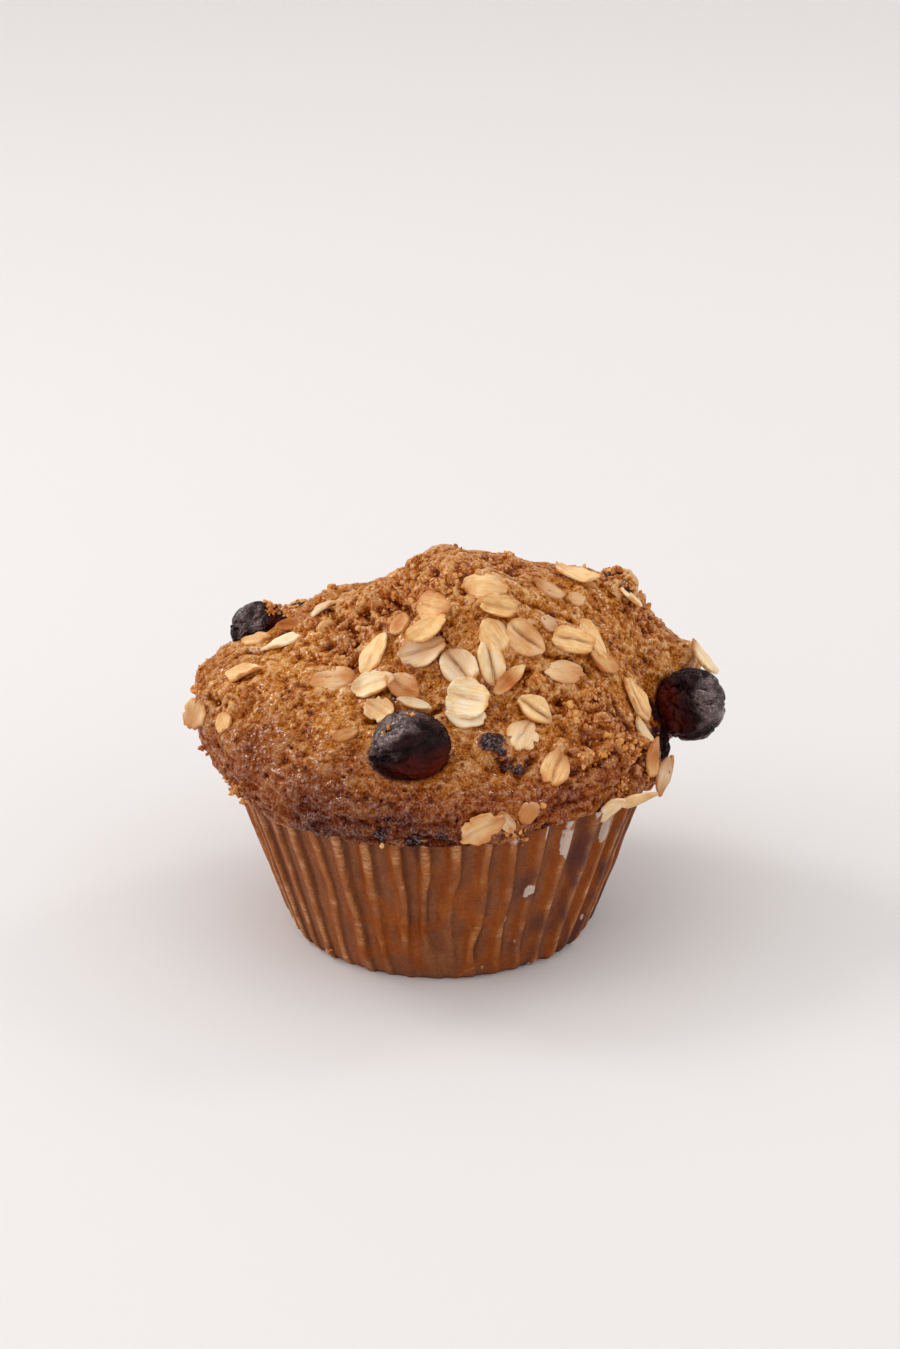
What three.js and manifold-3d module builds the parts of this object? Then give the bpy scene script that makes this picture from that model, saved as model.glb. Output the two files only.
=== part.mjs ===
// A bakery muffin in its pleated paper case: one cake whose uneven top spreads over the rim of the case, and
// the berries baked into that top. Millimetres, +Z up. The origin is the centre of the case's foot, which
// stands on the plane z = 0. The muffin's front faces -Y, and azimuths are in degrees from +X towards +Y.
import * as THREE from "three";
import { mergeVertices } from "three/addons/utils/BufferGeometryUtils.js";
import Module from "manifold-3d";

// Driving dimensions of the paper case.
const footRadius = 27.6;
const caseFlare = 0.32; // how much the wall's mean radius grows for each millimetre of height
const caseHeight = 33;
const pleatCount = 44;
const footPleatReach = 0.4; // how far crests stand out of the wall's mean surface at the foot, and valleys in
const rimPleatReach = 0.8; // the same at the rim
const pleatSquareness = 1.6; // the higher, the flatter crests and valleys are and the steeper the flanks
const paperThickness = 0.5;
const stepsPerPleat = 4;

// Driving dimensions of the cake.
const fitGap = 0.3; // clearance between neighbouring pieces
const lipRadius = 40.3; // where the top is widest
const lipHeight = 38;
const rimDrop = 1; // how far the top hangs down outside the rim of the case
const topHeight = 46; // the top's height before its lobes are added
const edgeExponent = 2.8; // of the superellipse that rounds the top's edge: 2 is round, and more is squarer
const undersideExponent = 2.3; // the same below the place where the top is widest
const cakeColumns = 82;
const lipSteps = 4;
const topSteps = 17;

// Swells of the top's edge about an azimuth: the edge is moved out by reach, the place where it is widest is
// raised by rise, and its underside hangs lower by drop. Each fades out over its half width.
const edgeSwells = [
  { azimuth: 176, halfWidth: 44, reach: 4.6, rise: 6.5, drop: -0.7 }, // left lobe
  { azimuth: -142, halfWidth: 34, reach: 1.2, rise: 1, drop: 1.2 }, // front left cheek
  { azimuth: -95, halfWidth: 44, reach: -0.4, rise: 0, drop: 1 }, // front
  { azimuth: -54, halfWidth: 26, reach: -2, rise: -1, drop: -0.7 }, // front right, where the rim shows
  { azimuth: -16, halfWidth: 22, reach: 0.6, rise: -2, drop: 1 }, // below the right berry
  { azimuth: 20, halfWidth: 32, reach: 9, rise: 9, drop: -0.6 }, // right lobe
  { azimuth: 96, halfWidth: 56, reach: 2.2, rise: 2, drop: 0 }, // back
];

// Lobes of the top: each is centred at x and y, with its half lengths along X and Y, its height and its
// sharpness. The sharper, the flatter it is on top and the steeper at its edge.
const topLobes = [
  { x: 16, y: 8, halfX: 26, halfY: 23, height: 20, sharpness: 6 }, // central mass
  { x: 2, y: -11, halfX: 13, halfY: 9, height: 8, sharpness: 4 }, // its steep front
  { x: -1, y: 6, halfX: 8, halfY: 9, height: 3, sharpness: 4 }, // peak
  { x: -28, y: 4, halfX: 20, halfY: 22, height: 8.5, sharpness: 6 }, // left shelf
  { x: -19, y: 11, halfX: 7, halfY: 8, height: 5, sharpness: 4 }, // ridge left of the peak
  { x: -16, y: -27, halfX: 15, halfY: 12, height: 2.5, sharpness: 3 }, // front left cheek
  { x: 27, y: -21, halfX: 11, halfY: 11, height: 3.5, sharpness: 4 }, // front right clump
];

// Berries: the centre, the half lengths along their own axes, the turn about X, Y and Z in degrees, and how
// much the end on their own -X side is drawn to a point.
const berries = {
  berry_front: { centre: [-5.2, -32, 48], halfLengths: [7.3, 6.2, 6.2], turn: [0, 0, 0], point: 0.3 },
  berry_left: { centre: [-33, 13, 51], halfLengths: [5.9, 5.6, 5.4], turn: [0, 20, 0], point: 0.1 },
  berry_right: { centre: [45.4, -3, 43.1], halfLengths: [6.7, 6.3, 6.8], turn: [0, 0, 0], point: 0.1 },
  berry_right_low: { centre: [39.3, -7, 36.8], halfLengths: [2.4, 2.8, 3.3], turn: [0, 10, 0], point: 0.1 },
  berry_front_sunk: { centre: [9, -28, 44.4], halfLengths: [3.6, 3.4, 4.2], turn: [0, 0, 0], point: 0.1 },
  berry_top_sunk: { centre: [31.4, 9, 60], halfLengths: [4, 4, 3.8], turn: [0, 20, 0], point: 0.1 },
  berry_back_sunk: { centre: [-25.3, 22, 49], halfLengths: [5.2, 5, 4.6], turn: [0, 0, 0], point: 0.1 },
};
const berryColumns = 16;
const berryRows = 10;
const berryWrinkle = 0.025; // share of a berry's radius that its folds go in and out

const radians = THREE.MathUtils.degToRad;

// A solid of revolution about Z from [radius, height] pairs that start and end on the axis.
function turned(profile, columns) {
  const points = profile.map(([radius, height]) => new THREE.Vector2(radius, height));
  return new THREE.LatheGeometry(points, columns).rotateX(Math.PI / 2);
}

// Moves every vertex of a geometry by a function that changes the vector it is given.
function reshaped(geometry, move) {
  const position = geometry.getAttribute("position");
  const vertex = new THREE.Vector3();
  for (let i = 0; i < position.count; i++) {
    move(vertex.fromBufferAttribute(position, i), i);
    position.setXYZ(i, vertex.x, vertex.y, vertex.z);
  }
  return geometry;
}

// The wall's mean radius at a height.
const caseRadius = (height) => footRadius + caseFlare * height;

// The pleats' wave at an azimuth in radians, from -1 in a valley to 1 on a crest.
function pleatWave(azimuth) {
  const wave = Math.sin(pleatCount * azimuth);
  return Math.tanh(pleatSquareness * wave) / Math.tanh(pleatSquareness);
}

function paperCaseGeometry() {
  const profile = [
    [0, 0],
    [caseRadius(0), 0],
    [caseRadius(caseHeight / 2), caseHeight / 2],
    [caseRadius(caseHeight), caseHeight],
    [caseRadius(caseHeight) - paperThickness, caseHeight],
    [caseRadius(caseHeight / 2) - paperThickness, caseHeight / 2],
    [caseRadius(paperThickness) - paperThickness, paperThickness],
    [0, paperThickness],
  ];
  return reshaped(turned(profile, pleatCount * stepsPerPleat), (vertex) => {
    const radius = Math.hypot(vertex.x, vertex.y);
    if (radius < paperThickness) return;
    const azimuth = Math.atan2(vertex.y, vertex.x);
    const reach = THREE.MathUtils.lerp(footPleatReach, rimPleatReach, vertex.z / caseHeight);
    const pleated = (radius + reach * pleatWave(azimuth)) / radius;
    vertex.x *= pleated;
    vertex.y *= pleated;
  });
}

// A bump of the azimuth in degrees, 1 at its centre and 0 from its half width on.
function azimuthBump(azimuth, centre, halfWidth) {
  const apart = Math.abs(((azimuth - centre + 540) % 360) - 180);
  return apart < halfWidth ? 0.5 + 0.5 * Math.cos((Math.PI * apart) / halfWidth) : 0;
}

// The sum of one measure of all the swells of the top's edge at an azimuth in degrees.
function edgeSwell(azimuth, measure) {
  return edgeSwells.reduce(
    (sum, swell) => sum + swell[measure] * azimuthBump(azimuth, swell.azimuth, swell.halfWidth),
    0,
  );
}

function topSurface(x, y) {
  return topLobes.reduce((height, lobe) => {
    const away = Math.hypot((x - lobe.x) / lobe.halfX, (y - lobe.y) / lobe.halfY);
    return height + lobe.height / (1 + away ** lobe.sharpness);
  }, topHeight);
}

// The cake's outline on the half plane at an azimuth, as [radius, height] pairs from the middle of its
// underside to the middle of its top.
function cakeSection(degrees) {
  const wallInset = rimPleatReach + paperThickness + fitGap;
  const floor = paperThickness + fitGap;
  const overRim = caseHeight + fitGap;
  const underEdge = overRim - rimDrop - edgeSwell(degrees, "drop");
  const outsideRim = caseRadius(caseHeight) + rimPleatReach + fitGap;
  const widest = lipRadius + edgeSwell(degrees, "reach");
  const widestHeight = lipHeight + edgeSwell(degrees, "rise");
  const section = [
    [0, floor],
    [caseRadius(floor) - wallInset, floor],
    [caseRadius(overRim) - wallInset, overRim],
    [outsideRim, overRim],
  ];
  for (let i = 0; i < lipSteps; i++) {
    const turn = ((i / lipSteps) * Math.PI) / 2;
    section.push([
      outsideRim + (widest - outsideRim) * Math.sin(turn) ** (2 / undersideExponent),
      widestHeight - (widestHeight - underEdge) * Math.cos(turn) ** (2 / undersideExponent),
    ]);
  }
  for (let i = 0; i <= topSteps; i++) {
    const inward = i === topSteps ? 0 : Math.cos(((i / topSteps) * Math.PI) / 2);
    const radius = widest * inward;
    const x = radius * Math.cos(radians(degrees));
    const y = radius * Math.sin(radians(degrees));
    const rise = Math.sqrt(1 - inward ** edgeExponent);
    section.push([radius, widestHeight + (topSurface(x, y) - widestHeight) * rise]);
  }
  return section;
}

function cakeGeometry() {
  const sections = [];
  for (let i = 0; i <= cakeColumns; i++) sections.push(cakeSection((360 * i) / cakeColumns));
  const points = sections[0].length;
  return reshaped(turned(sections[0], cakeColumns), (vertex, index) => {
    const azimuth = (2 * Math.PI * Math.floor(index / points)) / cakeColumns;
    const [radius, height] = sections[Math.floor(index / points)][index % points];
    vertex.set(radius * Math.cos(azimuth), radius * Math.sin(azimuth), height);
  });
}

// A shrivelled berry, its surface grown outwards by a margin.
function berryGeometry({ halfLengths, point }, margin = 0) {
  const [halfX, halfY, halfZ] = halfLengths.map((half) => half + margin);
  return reshaped(new THREE.SphereGeometry(1, berryColumns, berryRows), (vertex) => {
    const { x, y, z } = vertex;
    const folds = 1 + berryWrinkle * (Math.sin(5 * x + 3 * z) + Math.sin(4 * y - 5 * z + 1));
    const waist = folds * (1 - point * Math.max(0, -x) ** 2);
    vertex.set(folds * halfX * x, waist * halfY * y, waist * halfZ * z);
  });
}

const wasm = await Module();
wasm.setup();

// A geometry as a manifold-3d solid, once the vertices that coincide are merged.
function solidOf(geometry) {
  const bare = new THREE.BufferGeometry()
    .setAttribute("position", geometry.getAttribute("position").clone())
    .setIndex(geometry.index.clone());
  const merged = mergeVertices(bare, 1e-3);
  return new wasm.Manifold(
    new wasm.Mesh({
      numProp: 3,
      vertProperties: merged.getAttribute("position").array,
      triVerts: new Uint32Array(merged.index.array),
    }),
  );
}

function geometryOf(solid) {
  const mesh = solid.getMesh();
  return new THREE.BufferGeometry()
    .setAttribute("position", new THREE.BufferAttribute(mesh.vertProperties, 3))
    .setIndex(new THREE.BufferAttribute(mesh.triVerts, 1));
}

const materials = {
  cake: new THREE.MeshStandardMaterial({ color: 0xa8692f, roughness: 0.85, metalness: 0 }),
  paper: new THREE.MeshStandardMaterial({ color: 0x8a5230, roughness: 0.6, metalness: 0 }),
  berry: new THREE.MeshStandardMaterial({ color: 0x241318, roughness: 0.35, metalness: 0 }),
};

const muffin = new THREE.Group();

function addPiece(name, geometry, material) {
  const mesh = new THREE.Mesh(geometry, material);
  mesh.name = name;
  muffin.add(mesh);
  return mesh;
}

addPiece("paper_case", paperCaseGeometry(), materials.paper);

// Each berry lies in a socket of the cake that is larger than it by the gap all round.
let cake = solidOf(cakeGeometry());
for (const [name, berry] of Object.entries(berries)) {
  const mesh = addPiece(name, berryGeometry(berry), materials.berry);
  mesh.position.set(...berry.centre);
  mesh.rotation.set(...berry.turn.map(radians));
  mesh.updateMatrixWorld(true);
  cake = cake.subtract(solidOf(berryGeometry(berry, fitGap).applyMatrix4(mesh.matrixWorld)));
}
addPiece("cake", geometryOf(cake), materials.cake);

export default muffin;
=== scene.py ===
"""The looks of the muffin: baked crust, crumbs, oat flakes, berries and the pleated paper case.

Shapes are worked out in millimetres, in the row frame, and turned into metres when a mesh is made.
"""

import itertools
import math

import bpy
import numpy as np
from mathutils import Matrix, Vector
from mathutils.bvhtree import BVHTree


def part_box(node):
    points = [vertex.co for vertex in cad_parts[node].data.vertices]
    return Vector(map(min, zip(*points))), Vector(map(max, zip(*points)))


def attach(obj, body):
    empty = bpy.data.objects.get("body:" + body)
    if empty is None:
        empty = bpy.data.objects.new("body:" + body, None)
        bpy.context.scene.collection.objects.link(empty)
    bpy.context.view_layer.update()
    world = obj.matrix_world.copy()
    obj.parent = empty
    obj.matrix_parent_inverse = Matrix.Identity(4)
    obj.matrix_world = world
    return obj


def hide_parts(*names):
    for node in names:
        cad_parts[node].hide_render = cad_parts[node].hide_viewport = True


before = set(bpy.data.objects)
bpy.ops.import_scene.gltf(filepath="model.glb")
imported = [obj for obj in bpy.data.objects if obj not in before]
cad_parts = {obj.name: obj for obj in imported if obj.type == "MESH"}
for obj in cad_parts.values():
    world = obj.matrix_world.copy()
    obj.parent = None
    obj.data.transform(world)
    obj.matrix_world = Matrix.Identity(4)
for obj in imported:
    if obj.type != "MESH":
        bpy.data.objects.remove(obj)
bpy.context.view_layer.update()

MM = 0.001
BODY = "root"
BERRIES = sorted(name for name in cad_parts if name.startswith("berry_"))

# The camera: where it stands, how far it looks down, and its focal length in pixels of the photograph.
PHOTO_WIDTH, PHOTO_HEIGHT = 900, 1349
FOCAL_PX = 3180
CAMERA_MM = np.array([1.8, -529.9, 272.7])
LOOK_DOWN = math.radians(23)
SENSOR_MM = 36

VOXEL_MM = 0.32  # the crust's grain
CASE_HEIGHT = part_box("paper_case")[1].z / MM
CASE_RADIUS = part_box("paper_case")[1].x / MM
FOOT_RADIUS = 27.6


# ---------------------------------------------------------------- noise


def hashed(lattice, seed):
    """A random number from 0 to 1 for each lattice point."""
    whole = lattice.astype(np.int64)
    mixed = whole[..., 0] * 73856093 ^ whole[..., 1] * 19349663 ^ whole[..., 2] * 83492791
    mixed = (mixed ^ (seed * 40503 + 12345)) & 0xFFFFFFFF
    mixed = ((mixed ^ (mixed >> 15)) * 0x2C1B3C6D) & 0xFFFFFFFF
    mixed = ((mixed ^ (mixed >> 12)) * 0x297A2D39) & 0xFFFFFFFF
    mixed = mixed ^ (mixed >> 15)
    return (mixed & 0xFFFFFF) / float(0x1000000)


def smooth_noise(points, size, seed):
    """Noise from -1 to 1 whose bumps are about size across."""
    place = points / size
    corner = np.floor(place)
    part = place - corner
    weight = part * part * (3 - 2 * part)
    total = np.zeros(len(points))
    for step in itertools.product((0, 1), repeat=3):
        share = np.prod(np.where(step, weight, 1 - weight), axis=1)
        total += share * hashed(corner + step, seed)
    return 2 * total - 1


def layered_noise(points, size, seed, layers=3):
    """Noise from about -1 to 1, with finer and fainter layers down from size."""
    total = np.zeros(len(points))
    for layer in range(layers):
        turned = points[:, [layer % 3, (layer + 1) % 3, (layer + 2) % 3]] + 17.3 * layer
        total += smooth_noise(turned, size / 2**layer, seed + layer) / 2**layer
    return total / 1.5


def grains(points, size, seed):
    """For grains scattered about size apart: the distance to the nearest one, as a share of size, and that
    grain's own random number."""
    place = points / size
    corner = np.floor(place)
    nearest = np.full(len(points), np.inf)
    own = np.zeros(len(points))
    for step in itertools.product((-1, 0, 1), repeat=3):
        cell = corner + step
        grain = cell + np.stack([hashed(cell, seed + axis) for axis in range(3)], axis=1)
        distance = np.linalg.norm(grain - place, axis=1)
        closer = distance < nearest
        own = np.where(closer, hashed(cell, seed + 3), own)
        nearest = np.where(closer, distance, nearest)
    return nearest, own


def three_noises(points, size, seed):
    """A noise of its own for each axis."""
    return np.stack([smooth_noise(points, size, seed + axis) for axis in range(3)], axis=1)


def ramp(values, low, high):
    """0 below low, 1 above high and smooth in between."""
    share = np.clip((values - low) / (high - low), 0, 1)
    return share * share * (3 - 2 * share)


def bell(away, width):
    """1 where away is 0, fading out past width."""
    return np.exp(-((away / width) ** 2))


# ---------------------------------------------------------------- meshes


def make_piece(name, vertices, faces, material, measures=None, smooth=True):
    """A mesh object from vertices in millimetres. Its material reads measures, a number for each vertex."""
    mesh = bpy.data.meshes.new(name)
    mesh.from_pydata((np.asarray(vertices) * MM).tolist(), [], faces)
    for key, values in (measures or {}).items():
        attribute = mesh.attributes.new(key, "FLOAT", "POINT")
        attribute.data.foreach_set("value", np.asarray(values, np.float32))
    mesh.polygons.foreach_set("use_smooth", np.full(len(mesh.polygons), smooth))
    mesh.materials.append(material)
    mesh.update()
    piece = bpy.data.objects.new(name, mesh)
    bpy.context.scene.collection.objects.link(piece)
    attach(piece, BODY)
    return piece


def vertices_of(mesh):
    places = np.zeros(len(mesh.vertices) * 3, np.float32)
    mesh.vertices.foreach_get("co", places)
    return places.reshape(-1, 3).astype(float)


def normals_of(vertices, triangles):
    """A unit normal for each vertex, from the triangles around it."""
    a, b, c = (vertices[triangles[:, k]] for k in range(3))
    across = np.cross(b - a, c - a)
    normals = np.zeros_like(vertices)
    for k in range(3):
        for axis in range(3):
            normals[:, axis] += np.bincount(triangles[:, k], across[:, axis], len(vertices))
    return normals / np.maximum(np.linalg.norm(normals, axis=1, keepdims=True), 1e-12)


def relaxed(vertices, edges, chosen, rounds):
    """The vertices after the chosen ones have moved towards the mean of their neighbours, again and again."""
    touched = edges[chosen[edges[:, 0]] | chosen[edges[:, 1]]]
    both = np.concatenate([touched, touched[:, ::-1]])
    count = np.maximum(np.bincount(both[:, 0], minlength=len(vertices)), 1)
    result = vertices.copy()
    for _ in range(rounds):
        for axis in range(3):
            mean = np.bincount(both[:, 0], result[both[:, 1], axis], len(vertices)) / count
            result[chosen, axis] = mean[chosen]
    return result


def unit(vector):
    return np.array(vector) / np.linalg.norm(vector)


def ring_quads(low, high, columns):
    """Faces between two closed rings of points, each ring given by the number of its first point."""
    return [(low + k, low + (k + 1) % columns, high + (k + 1) % columns, high + k) for k in range(columns)]


def fan(centre, ring, columns):
    """Faces from a centre point to a closed ring of points."""
    return [(centre, ring + k, ring + (k + 1) % columns) for k in range(columns)]


def turned_over(faces):
    """The same faces, facing the other way."""
    return [face[:1] + face[:0:-1] for face in faces]


def pole_to_pole(count, columns):
    """Faces over count points: a pole, rings of columns points each, and the other pole."""
    last_ring = count - 1 - columns
    faces = turned_over(fan(0, 1, columns)) + fan(count - 1, last_ring, columns)
    for low in range(1, last_ring, columns):
        faces += ring_quads(low, low + columns, columns)
    return faces


# ---------------------------------------------------------------- the photograph's view


VIEW_FORWARD = np.array([0, math.cos(LOOK_DOWN), -math.sin(LOOK_DOWN)])
VIEW_UP = np.array([0, math.sin(LOOK_DOWN), math.cos(LOOK_DOWN)])
VIEW_RIGHT = np.array([1.0, 0, 0])


def sight_line(column, row):
    """The direction from the camera through a pixel of the photograph."""
    across = (column - PHOTO_WIDTH / 2) / FOCAL_PX
    down = (row - PHOTO_HEIGHT / 2) / FOCAL_PX
    line = VIEW_FORWARD + across * VIEW_RIGHT - down * VIEW_UP
    return unit(line)


def off_sight_line(points, column, row):
    """How far each point lies along the sight line through a pixel, and how far from it."""
    sight = sight_line(column, row)
    reach = (points - CAMERA_MM) @ sight
    return reach, np.linalg.norm(points - CAMERA_MM - reach[:, None] * sight, axis=1)


class Surface:
    """A mesh that rays can be cast at."""

    def __init__(self, vertices, triangles):
        self.tree = BVHTree.FromPolygons(vertices.tolist(), triangles.tolist())

    def hit(self, start, line):
        place, normal, _, _ = self.tree.ray_cast(Vector(start), Vector(line))
        if place is None:
            return None
        return np.array(place), np.array(normal)

    def seen_at(self, column, row):
        return self.hit(CAMERA_MM, sight_line(column, row))


# ---------------------------------------------------------------- materials


def linear(red, green, blue):
    """A colour given as it shows on a screen, from 0 to 255, as a shader takes it."""
    shares = np.array([red, green, blue]) / 255
    lit = np.where(shares <= 0.04045, shares / 12.92, ((shares + 0.055) / 1.055) ** 2.4)
    return (*lit.tolist(), 1.0)


class Shader:
    """A material's nodes, added one call at a time."""

    def __init__(self, name):
        self.material = bpy.data.materials.new(name)
        self.material.use_nodes = True
        self.nodes = self.material.node_tree.nodes
        self.links = self.material.node_tree.links
        self.principled = self.nodes["Principled BSDF"]
        self.place = self.add("ShaderNodeTexCoord").outputs["Object"]

    def add(self, kind, **settings):
        node = self.nodes.new(kind)
        for key, value in settings.items():
            setattr(node, key, value)
        return node

    def join(self, source, socket):
        if hasattr(source, "is_output"):
            self.links.new(source, socket)
        else:
            socket.default_value = source

    def measure(self, name):
        """A number that the mesh holds for each vertex."""
        return self.add("ShaderNodeAttribute", attribute_name=name).outputs["Fac"]

    def math(self, operation, first, second=0.0, third=0.0):
        node = self.add("ShaderNodeMath", operation=operation)
        for socket, value in zip(node.inputs, (first, second, third)):
            self.join(value, socket)
        return node.outputs[0]

    def times(self, first, second):
        return self.math("MULTIPLY", first, second)

    def scaled(self, value, factor, offset):
        return self.math("MULTIPLY_ADD", value, factor, offset)

    def between(self, value, low, high):
        """0 below low, 1 above high and smooth in between."""
        node = self.add("ShaderNodeMapRange", interpolation_type="SMOOTHSTEP")
        for key, number in (("Value", value), ("From Min", low), ("From Max", high)):
            self.join(number, node.inputs[key])
        return node.outputs["Result"]

    def noise(self, size, detail=3.0, roughness=0.55, vector=None, distortion=0.0):
        """Noise from 0 to 1 whose bumps are about size millimetres across."""
        node = self.add("ShaderNodeTexNoise")
        self.links.new(vector or self.place, node.inputs["Vector"])
        node.inputs["Scale"].default_value = 1 / (size * MM)
        node.inputs["Detail"].default_value = detail
        node.inputs["Roughness"].default_value = roughness
        node.inputs["Distortion"].default_value = distortion
        return node.outputs["Fac"]

    def spots(self, size, feature="F1", vector=None):
        """The distance to the nearest of spots that lie about size millimetres apart."""
        node = self.add("ShaderNodeTexVoronoi", feature=feature)
        self.links.new(vector or self.place, node.inputs["Vector"])
        node.inputs["Scale"].default_value = 1 / (size * MM)
        return node.outputs["Distance"]

    def stretched(self, x, y, z):
        """The place in the object, with its patterns drawn out by these factors."""
        node = self.add("ShaderNodeMapping")
        self.links.new(self.place, node.inputs["Vector"])
        node.inputs["Scale"].default_value = (1 / x, 1 / y, 1 / z)
        return node.outputs["Vector"]

    def warped(self, size, reach):
        """The place in the object, pushed about by noise of this size, up to reach millimetres."""
        node = self.add("ShaderNodeTexNoise")
        self.links.new(self.place, node.inputs["Vector"])
        node.inputs["Scale"].default_value = 1 / (size * MM)
        node.inputs["Detail"].default_value = 1.0
        push = self.add("ShaderNodeVectorMath", operation="MULTIPLY_ADD")
        self.links.new(node.outputs["Color"], push.inputs[0])
        push.inputs[1].default_value = (reach * MM,) * 3
        self.links.new(self.place, push.inputs[2])
        return push.outputs[0]

    def colours(self, value, stops, *colours):
        """A colour for each value. Each stop is the value that gets its colour, as it shows on a screen."""
        node = self.add("ShaderNodeValToRGB")
        self.links.new(value, node.inputs["Fac"])
        elements = node.color_ramp.elements
        while len(elements) < len(stops):
            elements.new(0.5)
        for element, stop, colour in zip(elements, stops, colours):
            element.position = stop
            element.color = linear(*colour)
        return node.outputs["Color"]

    def mix(self, share, first, second, blend="MIX"):
        node = self.add("ShaderNodeMix", data_type="RGBA", blend_type=blend)
        self.join(share, node.inputs["Factor"])
        self.join(first, node.inputs[6])
        self.join(second, node.inputs[7])
        return node.outputs[2]

    def tinted(self, share, colour, tint):
        """The colour, multiplied by the tint where share is 1."""
        return self.mix(share, colour, self.mix(1.0, colour, linear(*tint), blend="MULTIPLY"))

    def bump(self, height, depth, before=None):
        """A bump whose height from 0 to 1 stands for depth millimetres."""
        node = self.add("ShaderNodeBump")
        node.inputs["Strength"].default_value = 1.0
        node.inputs["Distance"].default_value = depth * MM
        self.links.new(height, node.inputs["Height"])
        if before is not None:
            self.links.new(before, node.inputs["Normal"])
        return node.outputs["Normal"]

    def finish(self, colour, roughness, normal, **settings):
        self.join(colour, self.principled.inputs["Base Color"])
        self.join(roughness, self.principled.inputs["Roughness"])
        self.join(normal, self.principled.inputs["Normal"])
        for key, value in settings.items():
            self.principled.inputs[key.replace("_", " ")].default_value = value
        return self.material


def crust_material():
    """Golden to reddish brown bake. It reads height and hollow, how far a spot stands out of the crust close
    by and further around it, which paint raised spots lighter and hollows darker as painted light and
    shade, crumbly, the open crumb where the crust is torn, the darker lower part, partly a darker bake and
    partly painted shade, browned, dark, also partly a darker bake and partly painted shade, and juice."""
    shader = Shader("baked_crust")
    height = shader.measure("height")
    crumbly = shader.measure("crumbly")
    hollow = shader.measure("hollow")
    cell = shader.spots(0.8, vector=shader.warped(0.6, 0.8))
    grit = shader.noise(0.45, detail=4, roughness=0.62)
    nubs = shader.noise(1.1, detail=3, roughness=0.6)
    broad = shader.noise(7, detail=3)
    grain = shader.scaled(cell, -1.15, 1.0)
    # Raised spots are painted lighter and hollows darker: painted light and shade over the bake's colour.
    level = shader.scaled(hollow, 0.42, shader.scaled(height, 0.6, -0.02))
    level = shader.scaled(shader.times(grain, crumbly), 0.2, level)
    for pattern, weight in ((grit, 1.3), (nubs, 0.8), (broad, 0.8)):
        level = shader.math("ADD", level, shader.scaled(pattern, weight, -weight / 2))
    stops = (0.12, 0.34, 0.56, 0.9)
    crust = shader.colours(level, stops, (98, 36, 0), (166, 84, 6), (211, 132, 46), (252, 200, 136))
    crumb = shader.colours(level, stops, (80, 22, 0), (138, 48, 0), (182, 84, 6), (228, 152, 66))
    colour = shader.mix(crumbly, crust, crumb)
    juice = shader.measure("juice")
    # Darker lower down: partly a darker bake, partly painted shade.
    colour = shader.tinted(shader.measure("toast_and_shade"), colour, (192, 152, 100))
    colour = shader.tinted(shader.measure("browned"), colour, (200, 174, 150))
    # Darker along the lower edge: partly a darker bake, partly painted shade.
    colour = shader.tinted(shader.measure("dark"), colour, (166, 138, 118))
    colour = shader.tinted(shader.between(juice, 0.0, 0.5), colour, (160, 116, 98))
    soaked = shader.between(juice, 0.35, 0.8)
    colour = shader.mix(soaked, colour, shader.mix(grit, linear(26, 10, 16), linear(70, 28, 26)))
    bump = shader.bump(grit, 0.55)
    bump = shader.bump(grain, 0.16, before=bump)
    bump = shader.bump(nubs, 0.5, before=bump)
    # Fat glistens on the grains.
    glint = shader.between(shader.noise(0.42, detail=3), 0.5, 0.58)
    raised = shader.between(height, 0.42, 0.62)
    wet = shader.math("MAXIMUM", shader.scaled(raised, 0.65, 0.35), soaked)
    shader.join(shader.times(glint, wet), shader.principled.inputs["Coat Weight"])
    sheen = shader.scaled(raised, 0.12, 0.02)
    shader.join(sheen, shader.principled.inputs["Specular IOR Level"])
    roughness = shader.scaled(shader.noise(1.1), 0.3, 0.35)
    return shader.finish(colour, roughness, bump, Coat_Roughness=0.14, Coat_IOR=1.85)


def crumb_material():
    """Loose golden crumbs. It reads tint, each crumb's own shade."""
    shader = Shader("loose_crumbs")
    tint = shader.measure("tint")
    grit = shader.noise(0.4, detail=3, roughness=0.65)
    level = shader.scaled(grit, 0.6, shader.times(tint, 0.5))
    stops = (0.1, 0.38, 0.62, 0.95)
    colour = shader.colours(level, stops, (136, 62, 10), (188, 102, 26), (222, 146, 62), (246, 198, 132))
    bump = shader.bump(grit, 0.2)
    return shader.finish(colour, 0.38, bump, Specular_IOR_Level=0.5)


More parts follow.
